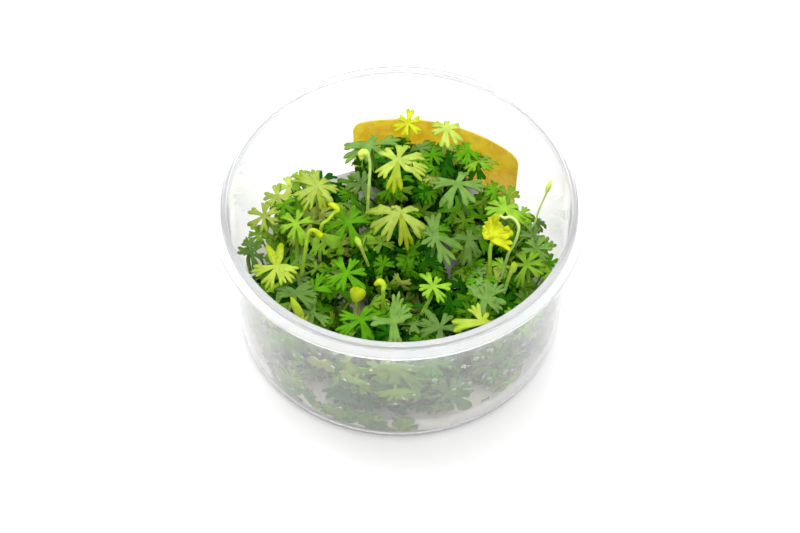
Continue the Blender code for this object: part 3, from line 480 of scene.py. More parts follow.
def grow_blade(bm, hub, turn, radius, fingers, droop, held, detail, rng, second_slot=()):
    """A blade of fingers round a small middle, some of them in the second material. Returns its faces."""
    blade = Blade(bm, hub, turn, radius, droop, held, rng)
    full = [(*finger, 2)[:3] if isinstance(finger, tuple) else (finger, 1.0, 0) for finger in fingers]
    order = sorted((finger[0] % 360, *finger[1:]) for finger in full)
    count = len(order)
    gaps = [(order[(i + 1) % count][0] - order[i][0]) % 360 for i in range(count)]
    sinuses = []
    for i, finger in enumerate(order):
        joined = JOINED_SHARE * clamp((JOINED_BELOW - gaps[i - 1]) / JOINED_OVER)
        fused = FUSED_SHARE * clamp((FUSED_BELOW - gaps[i - 1]) / FUSED_OVER)
        shortest = min(finger[1], order[i - 1][1])
        depth = radius * min(SINUS_SHARE + joined + fused, SINUS_LIMIT * shortest)
        flat = pointing(math.radians(finger[0] - gaps[i - 1] / 2)) * depth
        sinuses.append((blade.vert(flat, 1.0), flat))
    middle = blade.vert(Vector((0.0, 0.0)), 0.0)
    for i, finger in enumerate(order):
        ends = (sinuses[i], sinuses[(i + 1) % count])
        gap = min(gaps[i - 1], gaps[i])
        fused = clamp((FUSED_BELOW - gap) / FUSED_OVER)
        half_angle = math.radians(min(detail.half_angle, (WEDGE_SHARE_OF_GAP + FUSED_WIDENING * fused) * gap))
        first = len(blade.faces)
        row = grow_finger(blade, finger, ends, half_angle, fused, detail, rng)
        blade.strip(row[::-1], [middle])
        if finger[0] in second_slot:
            for face in blade.faces[first:]:
                face.material_index = 1
    return blade.faces


def join_rings(bm, rings, slot=0):
    """Faces all round between each ring of points and the next, either of which may be one point."""
    for first, second in zip(rings, rings[1:]):
        sides = max(len(first), len(second))
        for i in range(sides):
            j = (i + 1) % sides
            corners = (first[i % len(first)], first[j % len(first)],
                       second[j % len(second)], second[i % len(second)])
            bm.faces.new(list(dict.fromkeys(corners))).material_index = slot


def grow_tube(bm, points, radii, sides, tone, slot, groove=0.0):
    """A closed tube through points, its ends rounded off by its radii."""
    layers = value_layers(bm)
    rings = []
    across = Vector((1, 0, 0))
    for i, point in enumerate(points):
        ahead = (points[min(i + 1, len(points) - 1)] - points[max(i - 1, 0)]).normalized()
        across = (across - ahead * across.dot(ahead)).normalized()
        other = ahead.cross(across)
        ring = []
        for j in range(sides):
            angle = math.tau * j / sides
            radius = radii[i] * (1 + groove * math.cos(3 * angle) * min(radii[i] / STALK_RADIUS - 1, 1.0))
            vert = bm.verts.new(point + (across * math.cos(angle) + other * math.sin(angle)) * radius)
            for layer, value in zip(layers, (i / (len(points) - 1), 0.5, tone)):
                vert[layer] = value
            ring.append(vert)
        rings.append(ring)
    join_rings(bm, rings, slot)
    for cap in (rings[0][::-1], rings[-1]):
        bm.faces.new(cap).material_index = slot


def smooth_path(knots, count):
    """Points of a smooth curve through knots, each knot a Vector of any length."""
    path = []
    spans = len(knots) - 1
    for i in range(count):
        place = i / (count - 1) * spans
        k = min(int(place), spans - 1)
        t = place - k
        before, start = knots[max(k - 1, 0)], knots[k]
        end, after = knots[k + 1], knots[min(k + 2, spans)]
        point = start * 2 + (end - before) * t + (before * 2 - start * 5 + end * 4 - after) * t**2
        path.append((point + (start * 3 - before - end * 3 + after) * t**3) / 2)
    return path


def bent_path(start, control, end, count):
    return [start * (1 - t) ** 2 + control * 2 * t * (1 - t) + end * t * t
            for t in (i / (count - 1) for i in range(count))]


def wall_radius(z):
    """The cup's outer radius at height z, between the bottom corner and the flange."""
    share = (z - CORNER_RADIUS) / (FLANGE_TOP - FLANGE_THICKNESS - CORNER_RADIUS)
    return WALL_RADIUS_LOW + (WALL_RADIUS_HIGH - WALL_RADIUS_LOW) * clamp(share)


def inner_radius(z):
    return wall_radius(z) - WALL_THICKNESS


def wall_turn(azimuth):
    """Turns a blade to lie flat against the inside of the wall, its upper face to the wall."""
    return Matrix.Rotation(azimuth, 3, "Z") @ Matrix.Rotation(math.radians(90), 3, "Y")


def kept_within(point, limit):
    """A point moved in to no more than the limit from the cup's axis."""
    reach = math.hypot(point.x, point.y)
    if reach > limit:
        point.x *= limit / reach
        point.y *= limit / reach
    return point


def kept_in_cup(point):
    """A point held off the wall and out of the gel."""
    point.z = max(point.z, GEL_TOP + GEL_CLEARANCE)
    return kept_within(point, inner_radius(point.z) - WALL_CLEARANCE)


def kept_at_wall(point):
    """A point held off the wall and above the cup's rounded bottom corner."""
    point.z = max(point.z, CORNER_RADIUS)
    return kept_within(point, inner_radius(point.z) - WALL_CLEARANCE)


def thicken(bm, thickness):
    """Gives sheets their thickness: a second face behind each face, and a strip along each open edge."""
    bm.normal_update()
    layers = value_layers(bm)
    faces = list(bm.faces)
    edges = [edge for edge in bm.edges if edge.is_boundary]
    behind = {}
    for vert in list(bm.verts):
        behind[vert] = bm.verts.new(vert.co - vert.normal * thickness)
        for layer in layers:
            behind[vert][layer] = vert[layer]
    for edge in edges:
        loop = edge.link_loops[0]
        first, second = loop.vert, loop.link_loop_next.vert
        side = bm.faces.new((second, first, behind[first], behind[second]))
        side.material_index = loop.face.material_index
    for face in faces:
        back = bm.faces.new([behind[vert] for vert in reversed(face.verts)])
        back.material_index = face.material_index


def add_object(name, data):
    thing = bpy.data.objects.new(name, data)
    bpy.context.scene.collection.objects.link(thing)
    return thing


def add_piece(name, bm, materials, slot, *nodes):
    """Puts the finished mesh into the scene, as a piece that stands for its CAD nodes if it has any."""
    for face in bm.faces:
        face.smooth = True
    mesh = bpy.data.meshes.new(name)
    bm.to_mesh(mesh)
    bm.free()
    for material in materials:
        mesh.materials.append(material)
    piece = add_object(name, mesh)
    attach(piece, "root")
    if nodes:
        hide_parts(*nodes)


def surface_tree(nodes):
    """One search tree over CAD nodes' surfaces."""
    points = []
    faces = []
    for node in nodes:
        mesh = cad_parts[node].data
        first = len(points)
        points += [vert.co.copy() for vert in mesh.vertices]
        faces += [[first + index for index in face.vertices] for face in mesh.polygons]
    return BVHTree.FromPolygons(points, faces)


def foot_near(tree, point):
    """The place in the nearest clump that a stalk grows from, below the clump's surface."""
    nearest, normal = tree.find_nearest(point)[:2]
    return nearest - normal * STALK_DEPTH


def stalk_path(hub, down, foot):
    """A stalk that leaves the blade at a right angle and bends over to its foot."""
    control = hub + down * (foot - hub).length * STALK_BEND_SHARE
    return bent_path(hub + down * BLADE_THICKNESS, control, foot, FINE.stalk_rings)


def make_leaf(leaf, tree, materials):
    rng = random.Random(leaf.name)
    hub = Vector(leaf.place) * MM
    lean = Matrix.Rotation(math.radians(leaf.lean), 3, "Z")
    turn = lean @ Matrix.Rotation(math.radians(leaf.tilt), 3, "Y") @ lean.inverted()
    bm = bmesh.new()
    yellow = YELLOW_FINGERS.get(leaf.name, ())
    second = "tipped" if yellow else "knob"
    grow_blade(bm, hub, turn, leaf.radius * MM, leaf.fingers, leaf.droop, kept_in_cup, FINE, rng, yellow)
    thicken(bm, BLADE_THICKNESS)
    down = turn @ Vector((0, 0, -1))
    if leaf.stalk:
        points = [Vector(point) * MM for point in leaf.stalk]
        path = smooth_path([hub, *points[:-1], foot_near(tree, points[-1])], 2 * FINE.stalk_rings)
    else:
        path = stalk_path(hub, down, foot_near(tree, hub + down * STALK_LENGTH))
    thick = HOOK_THICKNESS if leaf.stalk else TOP_THICKNESS
    shares = [min(3 * i / (len(path) - 1), 1.0) for i in range(len(path))]
    radii = [STALK_RADIUS * (thick + (FOOT_THICKNESS - thick) * share) for share in shares]
    grow_tube(bm, path[::-1], radii[::-1], FINE.stalk_sides, tone=0.6, slot=1 if leaf.stalk else 0)
    slots = [materials[leaf.tint]] + ([materials[second]] if yellow or leaf.stalk else [])
    add_piece(leaf.name + "_blade", bm, slots, TINTS[leaf.tint].slot, leaf.name)


def make_wall_leaf(leaf, tree, materials):
    """A large leaf that lies against the inside of the wall."""
    rng = random.Random(leaf.name)
    height = leaf.height * MM
    radius = inner_radius(height) - WALL_CLEARANCE
    azimuth = math.radians(leaf.azimuth)
    hub = Vector((radius * math.cos(azimuth), radius * math.sin(azimuth), height))
    turn = wall_turn(azimuth)
    bm = bmesh.new()
    grow_blade(bm, hub, turn, leaf.radius * MM, leaf.fingers, WALL_DROOP, kept_at_wall, BROAD, rng)
    thicken(bm, BLADE_THICKNESS)
    inward = turn @ Vector((0, 0, -1))
    path = stalk_path(hub, inward, foot_near(tree, hub))
    grow_tube(bm, path, [STALK_RADIUS] * len(path), FINE.stalk_sides, tone=0.5, slot=0)
    add_piece(leaf.name + "_blade", bm, [materials[leaf.tint]], TINTS[leaf.tint].slot, leaf.name)


def make_young_leaf(young, tree, materials):
    """A young leaf: a stalk that swells into a rolled knob, with the folds of its fingers in it."""
    knots = []
    for x, y, z, thickness in young.points:
        knots.append(Vector((x * MM, y * MM, z * MM, thickness)))
    foot = foot_near(tree, knots[0].to_3d())
    knots[0] = Vector((*foot, knots[0].w))
    path = smooth_path(knots, KNOB_RINGS * len(knots))
    points = [knot.to_3d() for knot in path]
    radii = [STALK_RADIUS * max(knot.w, 0.3) for knot in path]
    beyond = points[-1] + (points[-1] - points[-2]).normalized() * radii[-1] * 0.7
    points += [points[-1].lerp(beyond, 0.6), beyond]
    radii += [radii[-1] * 0.75, radii[-1] * 0.2]
    bm = bmesh.new()
    grow_tube(bm, points, radii, KNOB_SIDES, tone=0.8, slot=0, groove=0.10)
    add_piece(young.name + "_rolled", bm, [materials[young.tint]], TINTS[young.tint].slot, young.name)


def scattered(node, count, spacing, rng):
    """Seeded places and normals spread over the top and the sides of a clump's form."""
    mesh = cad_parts[node].data
    mesh.calc_loop_triangles()
    corners = [[mesh.vertices[i].co for i in triangle.vertices] for triangle in mesh.loop_triangles]
    normals = [triangle.normal.copy() for triangle in mesh.loop_triangles]
    sums = []
    for triangle, normal in zip(mesh.loop_triangles, normals):
        outward = normal.to_2d().dot(triangle.center.to_2d().normalized())
        share = 0.05 if normal.z < -0.5 else max(normal.z, 0.25 + 0.75 * outward, 0.2)
        sums.append(triangle.area * share + (sums[-1] if sums else 0.0))
    triangles = list(zip(corners, normals))
    found = []
    tries = 0
    while len(found) < count and tries < 40 * count:
        tries += 1
        (a, b, c), normal = rng.choices(triangles, cum_weights=sums)[0]
        u, v = rng.random(), rng.random()
        if u + v > 1:
            u, v = 1 - u, 1 - v
        place = a + (b - a) * u + (c - a) * v
        if all((place - other).length > spacing for other, _ in found):
            found.append((place, normal))
    return found


def kept_off_wall(hub, radius):
    """A small leaf's place, moved in so that its blade has room before the wall, and lower there."""
    low, high = EDGE_REACH
    edge = clamp((math.hypot(hub.x, hub.y) - low) / (high - low))
    if hub.y > -15 * MM:
        hub.z = max(hub.z - edge * EDGE_SINK, min(hub.z, 12 * MM))
    return kept_within(hub, inner_radius(hub.z) - WALL_CLEARANCE - WALL_ROOM * radius)


def in_open_way(hub, radius):
    start, end, width = OPEN_WAY
    start, end = Vector(start) * MM, Vector(end) * MM
    share = intersect_point_line(hub, start, end)[1]
    nearest = start.lerp(end, clamp(share))
    return (hub - nearest).length < width * MM + radius


def chosen_tint(shares, rng):
    names = [name for name, _ in shares]
    return rng.choices(names, weights=[share for _, share in shares])[0]


def grow_small_leaf(bm, hub, aim, radius, slot, detail, rng):
    """A small divided leaf of a clump, facing the way it aims. Its faces get the slot of its tint."""
    turn = Vector((0, 0, 1)).rotation_difference(aim).to_matrix()
    turn = turn @ Matrix.Rotation(rng.uniform(0, math.tau), 3, "Z")
    count = rng.choice(SMALL_FINGERS)
    fingers = [(SMALL_SPAN / count * i + rng.uniform(-SMALL_SWAY, SMALL_SWAY), rng.uniform(*SMALL_REACH), 0)
               for i in range(count)]
    droop = rng.uniform(*SMALL_DROOP)
    for face in grow_blade(bm, hub, turn, radius, fingers, droop, kept_in_cup, detail, rng):
        face.material_index = slot


def grow_on_wall(bm, azimuth, height, radius, fingers, slot, rng):
    """A leaf or a shred pressed flat against the inside of the front wall."""
    azimuth = math.radians(azimuth)
    hub = pointing(azimuth).to_3d() * (inner_radius(height) - WALL_CLEARANCE) + Vector((0, 0, height))
    turn = wall_turn(azimuth)
    for face in grow_blade(bm, hub, turn, radius, fingers, SMALL_WALL_DROOP, kept_at_wall, PLAIN, rng):
        face.material_index = slot


def grow_low_leaf(bm, names, rng):
    """An old leaf low against the wall, lower still towards its front."""
    first, last = LOW_AZIMUTHS
    share = rng.random()
    low, high = LOW_HEIGHTS
    height = low + (high - low) * rng.random() * (1.3 - 0.7 * share)
    slot = names.index(rng.choice(("green", "blue", "pale", "olive")))
    start = rng.uniform(0, 360)
    count = rng.choice(LOW_FINGERS)
    fingers = [(start + LOW_FINGER_GAP * i, rng.uniform(*LOW_REACH), 0) for i in range(count)]
    radius = rng.uniform(*LOW_RADII) * MM
    grow_on_wall(bm, first + (last - first) * share, height, radius, fingers, slot, rng)


def make_clump(node, seed, materials):
    """The growth of one clump: small divided leaves on stalks that rise from its crown."""
    rng = random.Random(seed)
    names = list(TINTS)
    low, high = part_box(node)
    middle = (low + high) / 2
    bm = bmesh.new()
    stalks = []
    for layer in LAYERS:
        # painted light: the two clumps seen against the light take paler tints at their surface
        shares = PAINTED_BACKLIGHT_SHARES if node in BACKLIT_CLUMPS and layer is LAYERS[0] else layer.shares
        for place, normal in scattered(node, layer.count, LEAF_SPACING, rng):
            hub = place - normal * (layer.depth + rng.uniform(0, 1.5 * MM))
            aim = normal + Vector([rng.uniform(-0.5, 0.5) for _ in range(3)]) + Vector((0, 0, 0.5))
            slot = names.index(chosen_tint(shares, rng))
            radius = rng.uniform(*layer.radii)
            if in_open_way(hub, radius):
                continue
            hub = kept_off_wall(hub, radius)
            grow_small_leaf(bm, hub, aim.normalized(), radius, slot, layer.detail, rng)
            stalks.append((hub, aim.normalized(), slot))
    for _ in range(GROUND_LEAVES):
        hub = kept_in_cup(Vector((rng.uniform(low.x, high.x), rng.uniform(low.y, high.y),
                                  rng.uniform(*GROUND_HEIGHTS))))
        aim = Vector((rng.uniform(-0.3, 0.3), rng.uniform(-0.3, 0.3), 1)).normalized()
        # painted shade: the low ground leaves take mostly the near-black green shade tint
        slot = names.index(rng.choice(("deep", "deep", "green")))
        grow_small_leaf(bm, hub, aim, rng.uniform(5, 7) * MM, slot, PLAIN, rng)
        stalks.append((hub, aim, slot))
    for place, radius, tint in OUTLINE_LEAVES.get(node, ()):
        hub, aim = Vector(place) * MM, Vector((place[0] * 0.01, rng.uniform(-0.4, 0), 1)).normalized()
        grow_small_leaf(bm, hub, aim, radius * MM, names.index(tint), COARSE, rng)
        stalks.append((hub, aim, names.index(tint)))
    for _ in range(LOW_LEAVES.get(node, 0)):
        grow_low_leaf(bm, names, rng)
    if node == "clump_front":
        for azimuth, height, radius, tint in WALL_SHREDS:
            shred = ((-100, 1, 1), (-80, 0.9, 1), (80, 0.9, 1), (100, 1, 1))
            grow_on_wall(bm, azimuth, height * MM, radius * MM, shred, names.index(tint), rng)
    thicken(bm, BLADE_THICKNESS)
    for hub, aim, slot in stalks:
        foot = middle.lerp(hub, CROWN_SHARE + rng.uniform(-0.1, 0.1))
        foot.z = GEL_TOP + 0.6 * MM
        control = hub - aim * (hub - foot).length * 0.4
        path = [kept_in_cup(point) for point in bent_path(hub, control, foot, COARSE.stalk_rings)]
        radii = [STALK_RADIUS * (0.6 + 0.3 * i / (len(path) - 1)) for i in range(len(path))]
        grow_tube(bm, path, radii, COARSE.stalk_sides, rng.random(), slot)
    add_piece(node + "_growth", bm, [materials[name] for name in names], "undergrowth", node)


class Nodes:
    """Adds shader nodes by short calls. A value is a number, a colour or another node's output."""

    def __init__(self, name):
        self.material = bpy.data.materials.new(name)
        self.material.use_nodes = True
        self.tree = self.material.node_tree
        self.shader = self.tree.nodes["Principled BSDF"]

    def put(self, socket, value):
        if isinstance(value, bpy.types.NodeSocket):
            self.tree.links.new(value, socket)
        elif isinstance(value, tuple) and socket.type == "RGBA":
            socket.default_value = (*value, 1.0)
        else:
            socket.default_value = value

    def set(self, **values):
        """Values of the Principled shader's sockets, named with underscores for spaces."""
        for name, value in values.items():
            self.put(self.shader.inputs[name.replace("_", " ")], value)

    def value(self, name):
        node = self.tree.nodes.new("ShaderNodeAttribute")
        node.attribute_name = name
        return node.outputs["Fac"]

    def place(self):
        return self.tree.nodes.new("ShaderNodeTexCoord").outputs["Object"]

    def noise(self, scale, detail=3.0, where=None):
        node = self.tree.nodes.new("ShaderNodeTexNoise")
        node.inputs["Scale"].default_value = scale
        node.inputs["Detail"].default_value = detail
        self.put(node.inputs["Vector"], where or self.place())
        return node.outputs["Fac"]

    def math(self, operation, first, second=0.0, third=0.0):
        node = self.tree.nodes.new("ShaderNodeMath")
        node.operation = operation
        for socket, value in zip(node.inputs, (first, second, third)):
            self.put(socket, value)
        return node.outputs[0]

    def spread(self, value, low, high, start=0.0, end=1.0):
        """A value between low and high, eased and given from start to end."""
        node = self.tree.nodes.new("ShaderNodeMapRange")
        node.interpolation_type = "SMOOTHSTEP"
        for name, number in zip(("Value", "From Min", "From Max", "To Min", "To Max"),
                                (value, low, high, start, end)):
            self.put(node.inputs[name], number)
        return node.outputs["Result"]

    def mix(self, share, first, second, blend="MIX"):
        node = self.tree.nodes.new("ShaderNodeMix")
        node.data_type = "RGBA"
        node.blend_type = blend
        self.put(node.inputs["Factor"], share)
        self.put(node.inputs[6], first)
        self.put(node.inputs[7], second)
        return node.outputs[2]

    def bump(self, height, distance, strength=1.0):
        node = self.tree.nodes.new("ShaderNodeBump")
        node.inputs["Distance"].default_value = distance
        node.inputs["Strength"].default_value = strength
        self.put(node.inputs["Height"], height)
        self.put(self.shader.inputs["Normal"], node.outputs["Normal"])


def leaf_material(name, tint):
    """Leaf tissue: its colour turns from the stalk to the tips, with paler veins and a mottle."""
    nodes = Nodes(name)
    vein = nodes.spread(nodes.value("rib"), 0.05, 0.45, 1.0, 0.0)
    mottle = nodes.noise(420.0, 4.0)
    colour = nodes.mix(nodes.spread(nodes.value("along"), 0.35, 1.0), tint.near, tint.tip)
    colour = nodes.mix(nodes.math("MULTIPLY", vein, 0.45), colour, tint.vein)
    light = nodes.math("MULTIPLY_ADD", nodes.value("tone"), 0.45, 0.65)
    light = nodes.math("MULTIPLY", light, nodes.spread(mottle, 0.3, 0.7, 0.86, 1.14))
    grey = nodes.tree.nodes.new("ShaderNodeCombineColor")
    for socket in grey.inputs:
        nodes.put(socket, light)
    colour = nodes.mix(1.0, colour, grey.outputs[0], "MULTIPLY")
    roughness = nodes.spread(mottle, 0.3, 0.7, tint.roughness - 0.08, tint.roughness + 0.1)
    nodes.set(Base_Color=colour, Roughness=roughness, Specular_IOR_Level=LEAF_SHINE)
    height = nodes.math("MULTIPLY_ADD", vein, -0.6, nodes.math("MULTIPLY", nodes.noise(1500.0), 0.5))
    nodes.bump(height, 0.08 * MM)
    return nodes.material


# The plastic: its colours, how cloudy it is, and the index that bends light
CUP_IOR = 1.49
WALL_COLOUR = (0.96, 0.965, 0.965)
# painted shade: the rim is frosted like real plastic, but its greyer, faintly lavender colour stands for the
# grey-lavender shade on the lip and flange
RIM_SHADE_COLOUR = (0.92, 0.92, 0.95)
WALL_CLOUD = 0.055
WALL_ROUGHNESS = 0.05
RIM_CLOUD = 0.19
RIM_ROUGHNESS = 0.22


def cup_material():
    """Clear plastic, clouded by a fine mist on the lower wall, least behind the leaves at the back."""
    nodes = Nodes("clear_plastic")
    split = nodes.tree.nodes.new("ShaderNodeSeparateXYZ")
    nodes.put(split.inputs[0], nodes.place())
    height = split.outputs["Z"]
    rim = nodes.spread(height, 44 * MM, 45.5 * MM)
    low = nodes.math("SUBTRACT", 1.0, rim)
    front = nodes.spread(split.outputs["Y"], -10 * MM, 25 * MM, 1.0, 0.25)
    cloud = nodes.spread(nodes.noise(60.0, 4.0), 0.3, 0.7, 0.75, 1.15)
    right = nodes.spread(nodes.math("ABSOLUTE", split.outputs["X"]), 26 * MM, 42 * MM, 1.0, 2.4)
    mist = nodes.math("MULTIPLY", nodes.math("MULTIPLY", low, front), nodes.math("MULTIPLY", cloud, right))
    edge = nodes.math("MAXIMUM", nodes.spread(height, 35 * MM, 43 * MM, 0.0, 1.6),
                      nodes.spread(height, 2 * MM, 5 * MM, 2.4, 0.0))
    mist = nodes.math("MULTIPLY", mist, nodes.math("ADD", edge, 1.0))
    mist = nodes.math("MULTIPLY_ADD", rim, RIM_CLOUD, nodes.math("MULTIPLY", mist, WALL_CLOUD))
    clear = nodes.math("SUBTRACT", 1.0, mist)
    roughness = nodes.math("MULTIPLY_ADD", rim, RIM_ROUGHNESS, WALL_ROUGHNESS)
    # painted shade: the lip and flange take the greyer lavender colour
    colour = nodes.mix(rim, WALL_COLOUR, RIM_SHADE_COLOUR)
    nodes.set(Base_Color=colour, Roughness=roughness, IOR=CUP_IOR, Transmission_Weight=clear)
    nodes.bump(nodes.noise(90.0, 2.0), 0.03 * MM, 0.5)
    return nodes.material


def arc(centre, radius, start, end, count):
    """Points of a profile's arc as (radius from the axis, height), angles in degrees from +X."""
    points = []
    for i in range(count):
        angle = math.radians(start + (end - start) * i / (count - 1))
        points.append((centre[0] + radius * math.cos(angle), centre[1] + radius * math.sin(angle)))
    return points


def cup_profile():
    """From the middle of the inside floor up the inner wall, over lip and flange, and down outside."""
    inside_corner = CORNER_RADIUS - WALL_THICKNESS
    flange_bottom = FLANGE_TOP - FLANGE_THICKNESS
    inner_lip = LIP_INNER_RADIUS + LIP_ROUNDING
    outer_lip = LIP_OUTER_RADIUS - LIP_ROUNDING
    fillet = 0.4 * MM
    floor_edge = inner_radius(0.0) - inside_corner
    points = [(0.0, FLOOR_THICKNESS)]
    points += arc((floor_edge, FLOOR_THICKNESS + inside_corner), inside_corner, -90, 0, 9)
    points += [(inner_radius(flange_bottom), flange_bottom)]
    points += arc((inner_lip, CUP_HEIGHT - LIP_ROUNDING), LIP_ROUNDING, 180, 90, 6)
    points += arc((outer_lip, CUP_HEIGHT - LIP_ROUNDING), LIP_ROUNDING, 90, 0, 6)
    points += arc((LIP_OUTER_RADIUS + fillet, FLANGE_TOP + fillet), fillet, 180, 270, 5)
    rim = FLANGE_RADIUS - FLANGE_ROUNDING
    points += arc((rim, FLANGE_TOP - FLANGE_ROUNDING), FLANGE_ROUNDING, 90, 0, 6)
    points += arc((rim, flange_bottom + FLANGE_ROUNDING), FLANGE_ROUNDING, 0, -90, 6)
    points += arc((wall_radius(flange_bottom) + fillet, flange_bottom - fillet), fillet, 90, 180, 5)
    points += arc((WALL_RADIUS_LOW - CORNER_RADIUS, CORNER_RADIUS), CORNER_RADIUS, 0, -90, 10)
    points += [(0.0, 0.0)]
    return points


def turned(profile, steps):
    """A mesh turned round Z from a profile that begins and ends on the axis."""
    bm = bmesh.new()
    rings = []
    for radius, height in profile:
        if radius == 0.0:
            rings.append([bm.verts.new((0.0, 0.0, height))])
            continue
        ring = []
        for i in range(steps):
            angle = math.tau * i / steps
            ring.append(bm.verts.new((radius * math.cos(angle), radius * math.sin(angle), height)))
        rings.append(ring)
    join_rings(bm, rings)
    bmesh.ops.recalc_face_normals(bm, faces=bm.faces)
    return bm


def make_cup():
    bm = turned(cup_profile(), CUP_STEPS)
    add_piece("cup_clear", bm, [cup_material()], "clear_cup_plastic", "cup")


def gel_material():
    nodes = Nodes("nutrient_gel")
    cloud = nodes.noise(140.0, 5.0)
    colour = nodes.mix(nodes.spread(cloud, 0.35, 0.65), (0.99, 0.91, 0.84), (0.98, 0.88, 0.78))
    nodes.set(Base_Color=colour, Roughness=nodes.spread(cloud, 0.3, 0.7, 0.12, 0.3), IOR=1.34,
              Transmission_Weight=0.12, Subsurface_Weight=1.0, Subsurface_Radius=(1.0, 1.0, 1.0),
              Subsurface_Scale=3.0 * MM)
    nodes.bump(nodes.noise(260.0, 3.0), 0.25 * MM)
    return nodes.material


def make_gel():
    """The gel's top is uneven, and creeps up a little at the wall."""
    rounding = CORNER_RADIUS - WALL_THICKNESS - GEL_GAP
    top = GEL_TOP - GEL_CREEP
    rim = inner_radius(top) - GEL_GAP
    points = [(0.0, top)]
    points += [(rim * share, top) for share in (0.1, 0.2, 0.3, 0.4, 0.5, 0.6, 0.7, 0.8, 0.88, 0.94)]
    points += [(rim * 0.985, top + 0.25 * MM), (rim, GEL_TOP)]
    points += arc((inner_radius(0.0) - GEL_GAP - rounding, GEL_LOW + rounding), rounding, 0, -90, 7)
    points += [(0.0, GEL_LOW)]
    bm = turned(points, GEL_STEPS)
    first, last = GEL_HOLLOW_AZIMUTHS
    for vert in bm.verts:
        if abs(vert.co.z - top) < 0.1 * MM:
            vert.co.z += GEL_LUMPS * noise.noise(vert.co * 120)
        azimuth = math.degrees(math.atan2(vert.co.y, vert.co.x)) % 360
        into = min(azimuth - first, last - azimuth) / 10
        reach = math.hypot(vert.co.x, vert.co.y)
        if into > 0 and reach > 0.8 * rim:
            back = 1 - GEL_HOLLOW * min(into, 1.0) * (reach / rim - 0.8) / 0.2 / reach
            vert.co.x *= back
            vert.co.y *= back
    add_piece("gel_layer", bm, [gel_material()], "nutrient_gel", "gel")


def label_material():
    """Bare ochre paper, mottled; partly painted light, its colour brighter than the paper's own for the
    little light that reaches its inner face.
    """
    nodes = Nodes("label_paper")
    blotch = nodes.noise(180.0, 6.0)
    fine = nodes.noise(900.0, 4.0)
    # partly painted light: the ochre is brighter than the paper's own, to make up for the shade behind the
    # cup's wall
    colour = nodes.mix(nodes.spread(blotch, 0.38, 0.62), (0.86, 0.60, 0.09), (0.70, 0.43, 0.045))
    colour = nodes.mix(nodes.spread(fine, 0.5, 0.7, 0.0, 0.6), colour, (0.92, 0.72, 0.22))
    nodes.set(Base_Color=colour, Roughness=nodes.spread(fine, 0.3, 0.7, 0.5, 0.7), Specular_IOR_Level=0.2,
              Subsurface_Weight=1.0, Subsurface_Radius=(1.0, 0.8, 0.4), Subsurface_Scale=2.0 * MM)
    nodes.bump(fine, 0.06 * MM)
    return nodes.material


def make_label():
    """A thin sheet with rounded corners that follows the outside of the back wall, hardly buckled."""
    start, end = (math.radians(angle) for angle in LABEL_ANGLES)
    half_length = (end - start) / 2 * WALL_RADIUS_HIGH
    half_height = (LABEL_TOP - LABEL_BOTTOM) / 2
    bm = bmesh.new()
    rows = []
    for i in range(LABEL_COLUMNS + 1):
        along = -math.cos(math.pi * i / LABEL_COLUMNS)
        into_corner = LABEL_CORNER - (1 - abs(along)) * half_length
        cut = 0.0
        if into_corner > 0:
            cut = LABEL_CORNER - math.sqrt(max(LABEL_CORNER**2 - into_corner**2, 0.0))
        angle = start + (end - start) * (along + 1) / 2
        row = []
        for j in range(LABEL_ROWS + 1):
            z = LABEL_BOTTOM + half_height + (half_height - cut) * (2 * j / LABEL_ROWS - 1)
            out = wall_radius(z) + LABEL_GAP + LABEL_THICKNESS
            out += 0.05 * MM * noise.noise(Vector((angle * 6, z * 150, 0.0)))
            row.append(bm.verts.new((out * math.cos(angle), out * math.sin(angle), z)))
        rows.append(row)
    for first, second in zip(rows, rows[1:]):
        for j in range(LABEL_ROWS):
            bm.faces.new((first[j], second[j], second[j + 1], first[j + 1]))
    thicken(bm, LABEL_THICKNESS)
    add_piece("label_sheet", bm, [label_material()], "label_paper", "label")


# Water droplets on the inside of the front wall: (first azimuth, last azimuth, lowest, highest, how many)
DROPLET_PATCHES = ((285, 345, 14, 42, 170), (235, 285, 12, 42, 60), (190, 235, 12, 40, 60))
LARGE_DROPLETS = ((300.0, 23.9, 0.9), (308.2, 19.8, 0.75), (318.0, 37.0, 0.7), (281.5, 30.0, 0.7),
                  (291.0, 33.5, 0.6), (295.5, 35.0, 0.6), (301.0, 29.5, 0.45))
DROPLET_SIDES = 12
DROPLET_ROWS = 5
DROPLET_GAP = 0.02 * MM
DROPLET_LEAST = 0.12 * MM
DROPLET_RANGE = 0.45 * MM
# How far droplets stand off the wall, as a share of their radius
DROPLET_DEPTH = 0.6
LARGE_DROPLET_DEPTH = 0.85


def add_droplet(bm, azimuth, height, radius, depth):
    """A flattened dome of water on the inner wall."""
    out = pointing(azimuth).to_3d()
    side = Vector((-out.y, out.x, 0.0))
    middle = out * (inner_radius(height) - DROPLET_GAP) + Vector((0, 0, height))
    rings = []
    for j in range(DROPLET_ROWS):
        lift = math.pi / 2 * j / DROPLET_ROWS
        ring = []
        for i in range(DROPLET_SIDES):
            angle = math.tau * i / DROPLET_SIDES
            flat = side * math.cos(angle) + Vector((0, 0, math.sin(angle)))
            inward = out * depth * radius * math.sin(lift)
            ring.append(bm.verts.new(middle + flat * radius * math.cos(lift) - inward))
        rings.append(ring)
    rings.append([bm.verts.new(middle - out * depth * radius)])
    join_rings(bm, rings)
    bm.faces.new(rings[0][::-1])


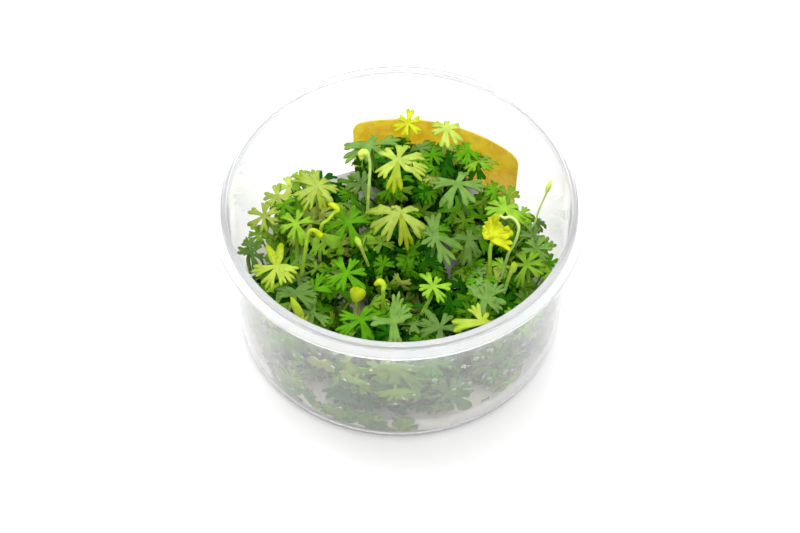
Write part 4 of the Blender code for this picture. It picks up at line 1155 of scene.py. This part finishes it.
def make_droplets():
    rng = random.Random(41)
    bm = bmesh.new()
    for first, last, low, high, count in DROPLET_PATCHES:
        for _ in range(count):
            radius = DROPLET_LEAST + DROPLET_RANGE * rng.random() ** 3
            azimuth, height = math.radians(rng.uniform(first, last)), rng.uniform(low, high) * MM
            add_droplet(bm, azimuth, height, radius, DROPLET_DEPTH)
    for azimuth, height, radius in LARGE_DROPLETS:
        add_droplet(bm, math.radians(azimuth), height * MM, radius * MM, LARGE_DROPLET_DEPTH)
    bmesh.ops.recalc_face_normals(bm, faces=bm.faces)
    nodes = Nodes("water")
    nodes.set(Base_Color=(1.0, 1.0, 1.0), Roughness=nodes.spread(nodes.noise(500.0), 0.3, 0.7, 0.0, 0.03),
              IOR=1.33, Transmission_Weight=1.0)
    add_piece("water_droplets", bm, [nodes.material], "clear_cup_plastic")


def make_floor():
    bpy.ops.mesh.primitive_plane_add(size=6.0)
    floor = bpy.context.object
    floor.name = "floor"
    nodes = Nodes("white_floor")
    nodes.set(Base_Color=(0.76, 0.76, 0.76), Roughness=0.3, IOR=1.5)
    floor.data.materials.append(nodes.material)


def make_light(name, place, size, power, colour):
    light = bpy.data.lights.new(name, "AREA")
    light.shape = "DISK"
    light.size = size
    light.energy = power
    light.color = colour
    lamp = add_object(name, light)
    lamp.location = place
    lamp.rotation_euler = Vector(place).to_track_quat("Z", "Y").to_euler()


def make_studio():
    """A white room with a large soft lamp above and behind the cup."""
    scene = bpy.context.scene
    world = bpy.data.worlds.new("white_room")
    world.use_nodes = True
    world.node_tree.nodes["Background"].inputs["Color"].default_value = (1.0, 0.998, 1.0, 1.0)
    world.node_tree.nodes["Background"].inputs["Strength"].default_value = 1.35
    scene.world = world
    make_light("back_softbox", (-0.10, 0.30, 0.82), 0.8, 5.0, (1.0, 0.99, 0.97))
    make_light("front_softbox", (0.15, -0.50, 0.60), 0.5, 1.5, (1.0, 1.0, 1.0))
    scene.view_settings.view_transform = "Standard"
    scene.cycles.use_denoising = True
    scene.cycles.max_bounces = 16
    scene.cycles.transmission_bounces = 12


def make_camera():
    data = bpy.data.cameras.new("camera")
    data.lens = CAMERA_LENS
    data.sensor_width = SENSOR_WIDTH
    camera = add_object("camera", data)
    elevation = math.radians(CAMERA_ELEVATION)
    away = Vector((0, -math.cos(elevation), math.sin(elevation)))
    camera.location = Vector(CAMERA_TARGET) + away * CAMERA_DISTANCE
    camera.rotation_euler = (math.pi / 2 - elevation, 0, 0)
    bpy.context.scene.camera = camera


def main():
    make_camera()
    make_studio()
    make_floor()
    materials = {name: leaf_material(name + "_leaf_tissue", tint) for name, tint in TINTS.items()}
    make_cup()
    make_label()
    make_gel()
    make_droplets()
    for seed, node in enumerate(CLUMPS):
        make_clump(node, seed, materials)
    tree = surface_tree(CLUMPS)
    for make, leaves in ((make_leaf, LEAVES), (make_wall_leaf, WALL_LEAVES), (make_young_leaf, YOUNG)):
        for leaf in leaves:
            make(leaf, tree, materials)


main()
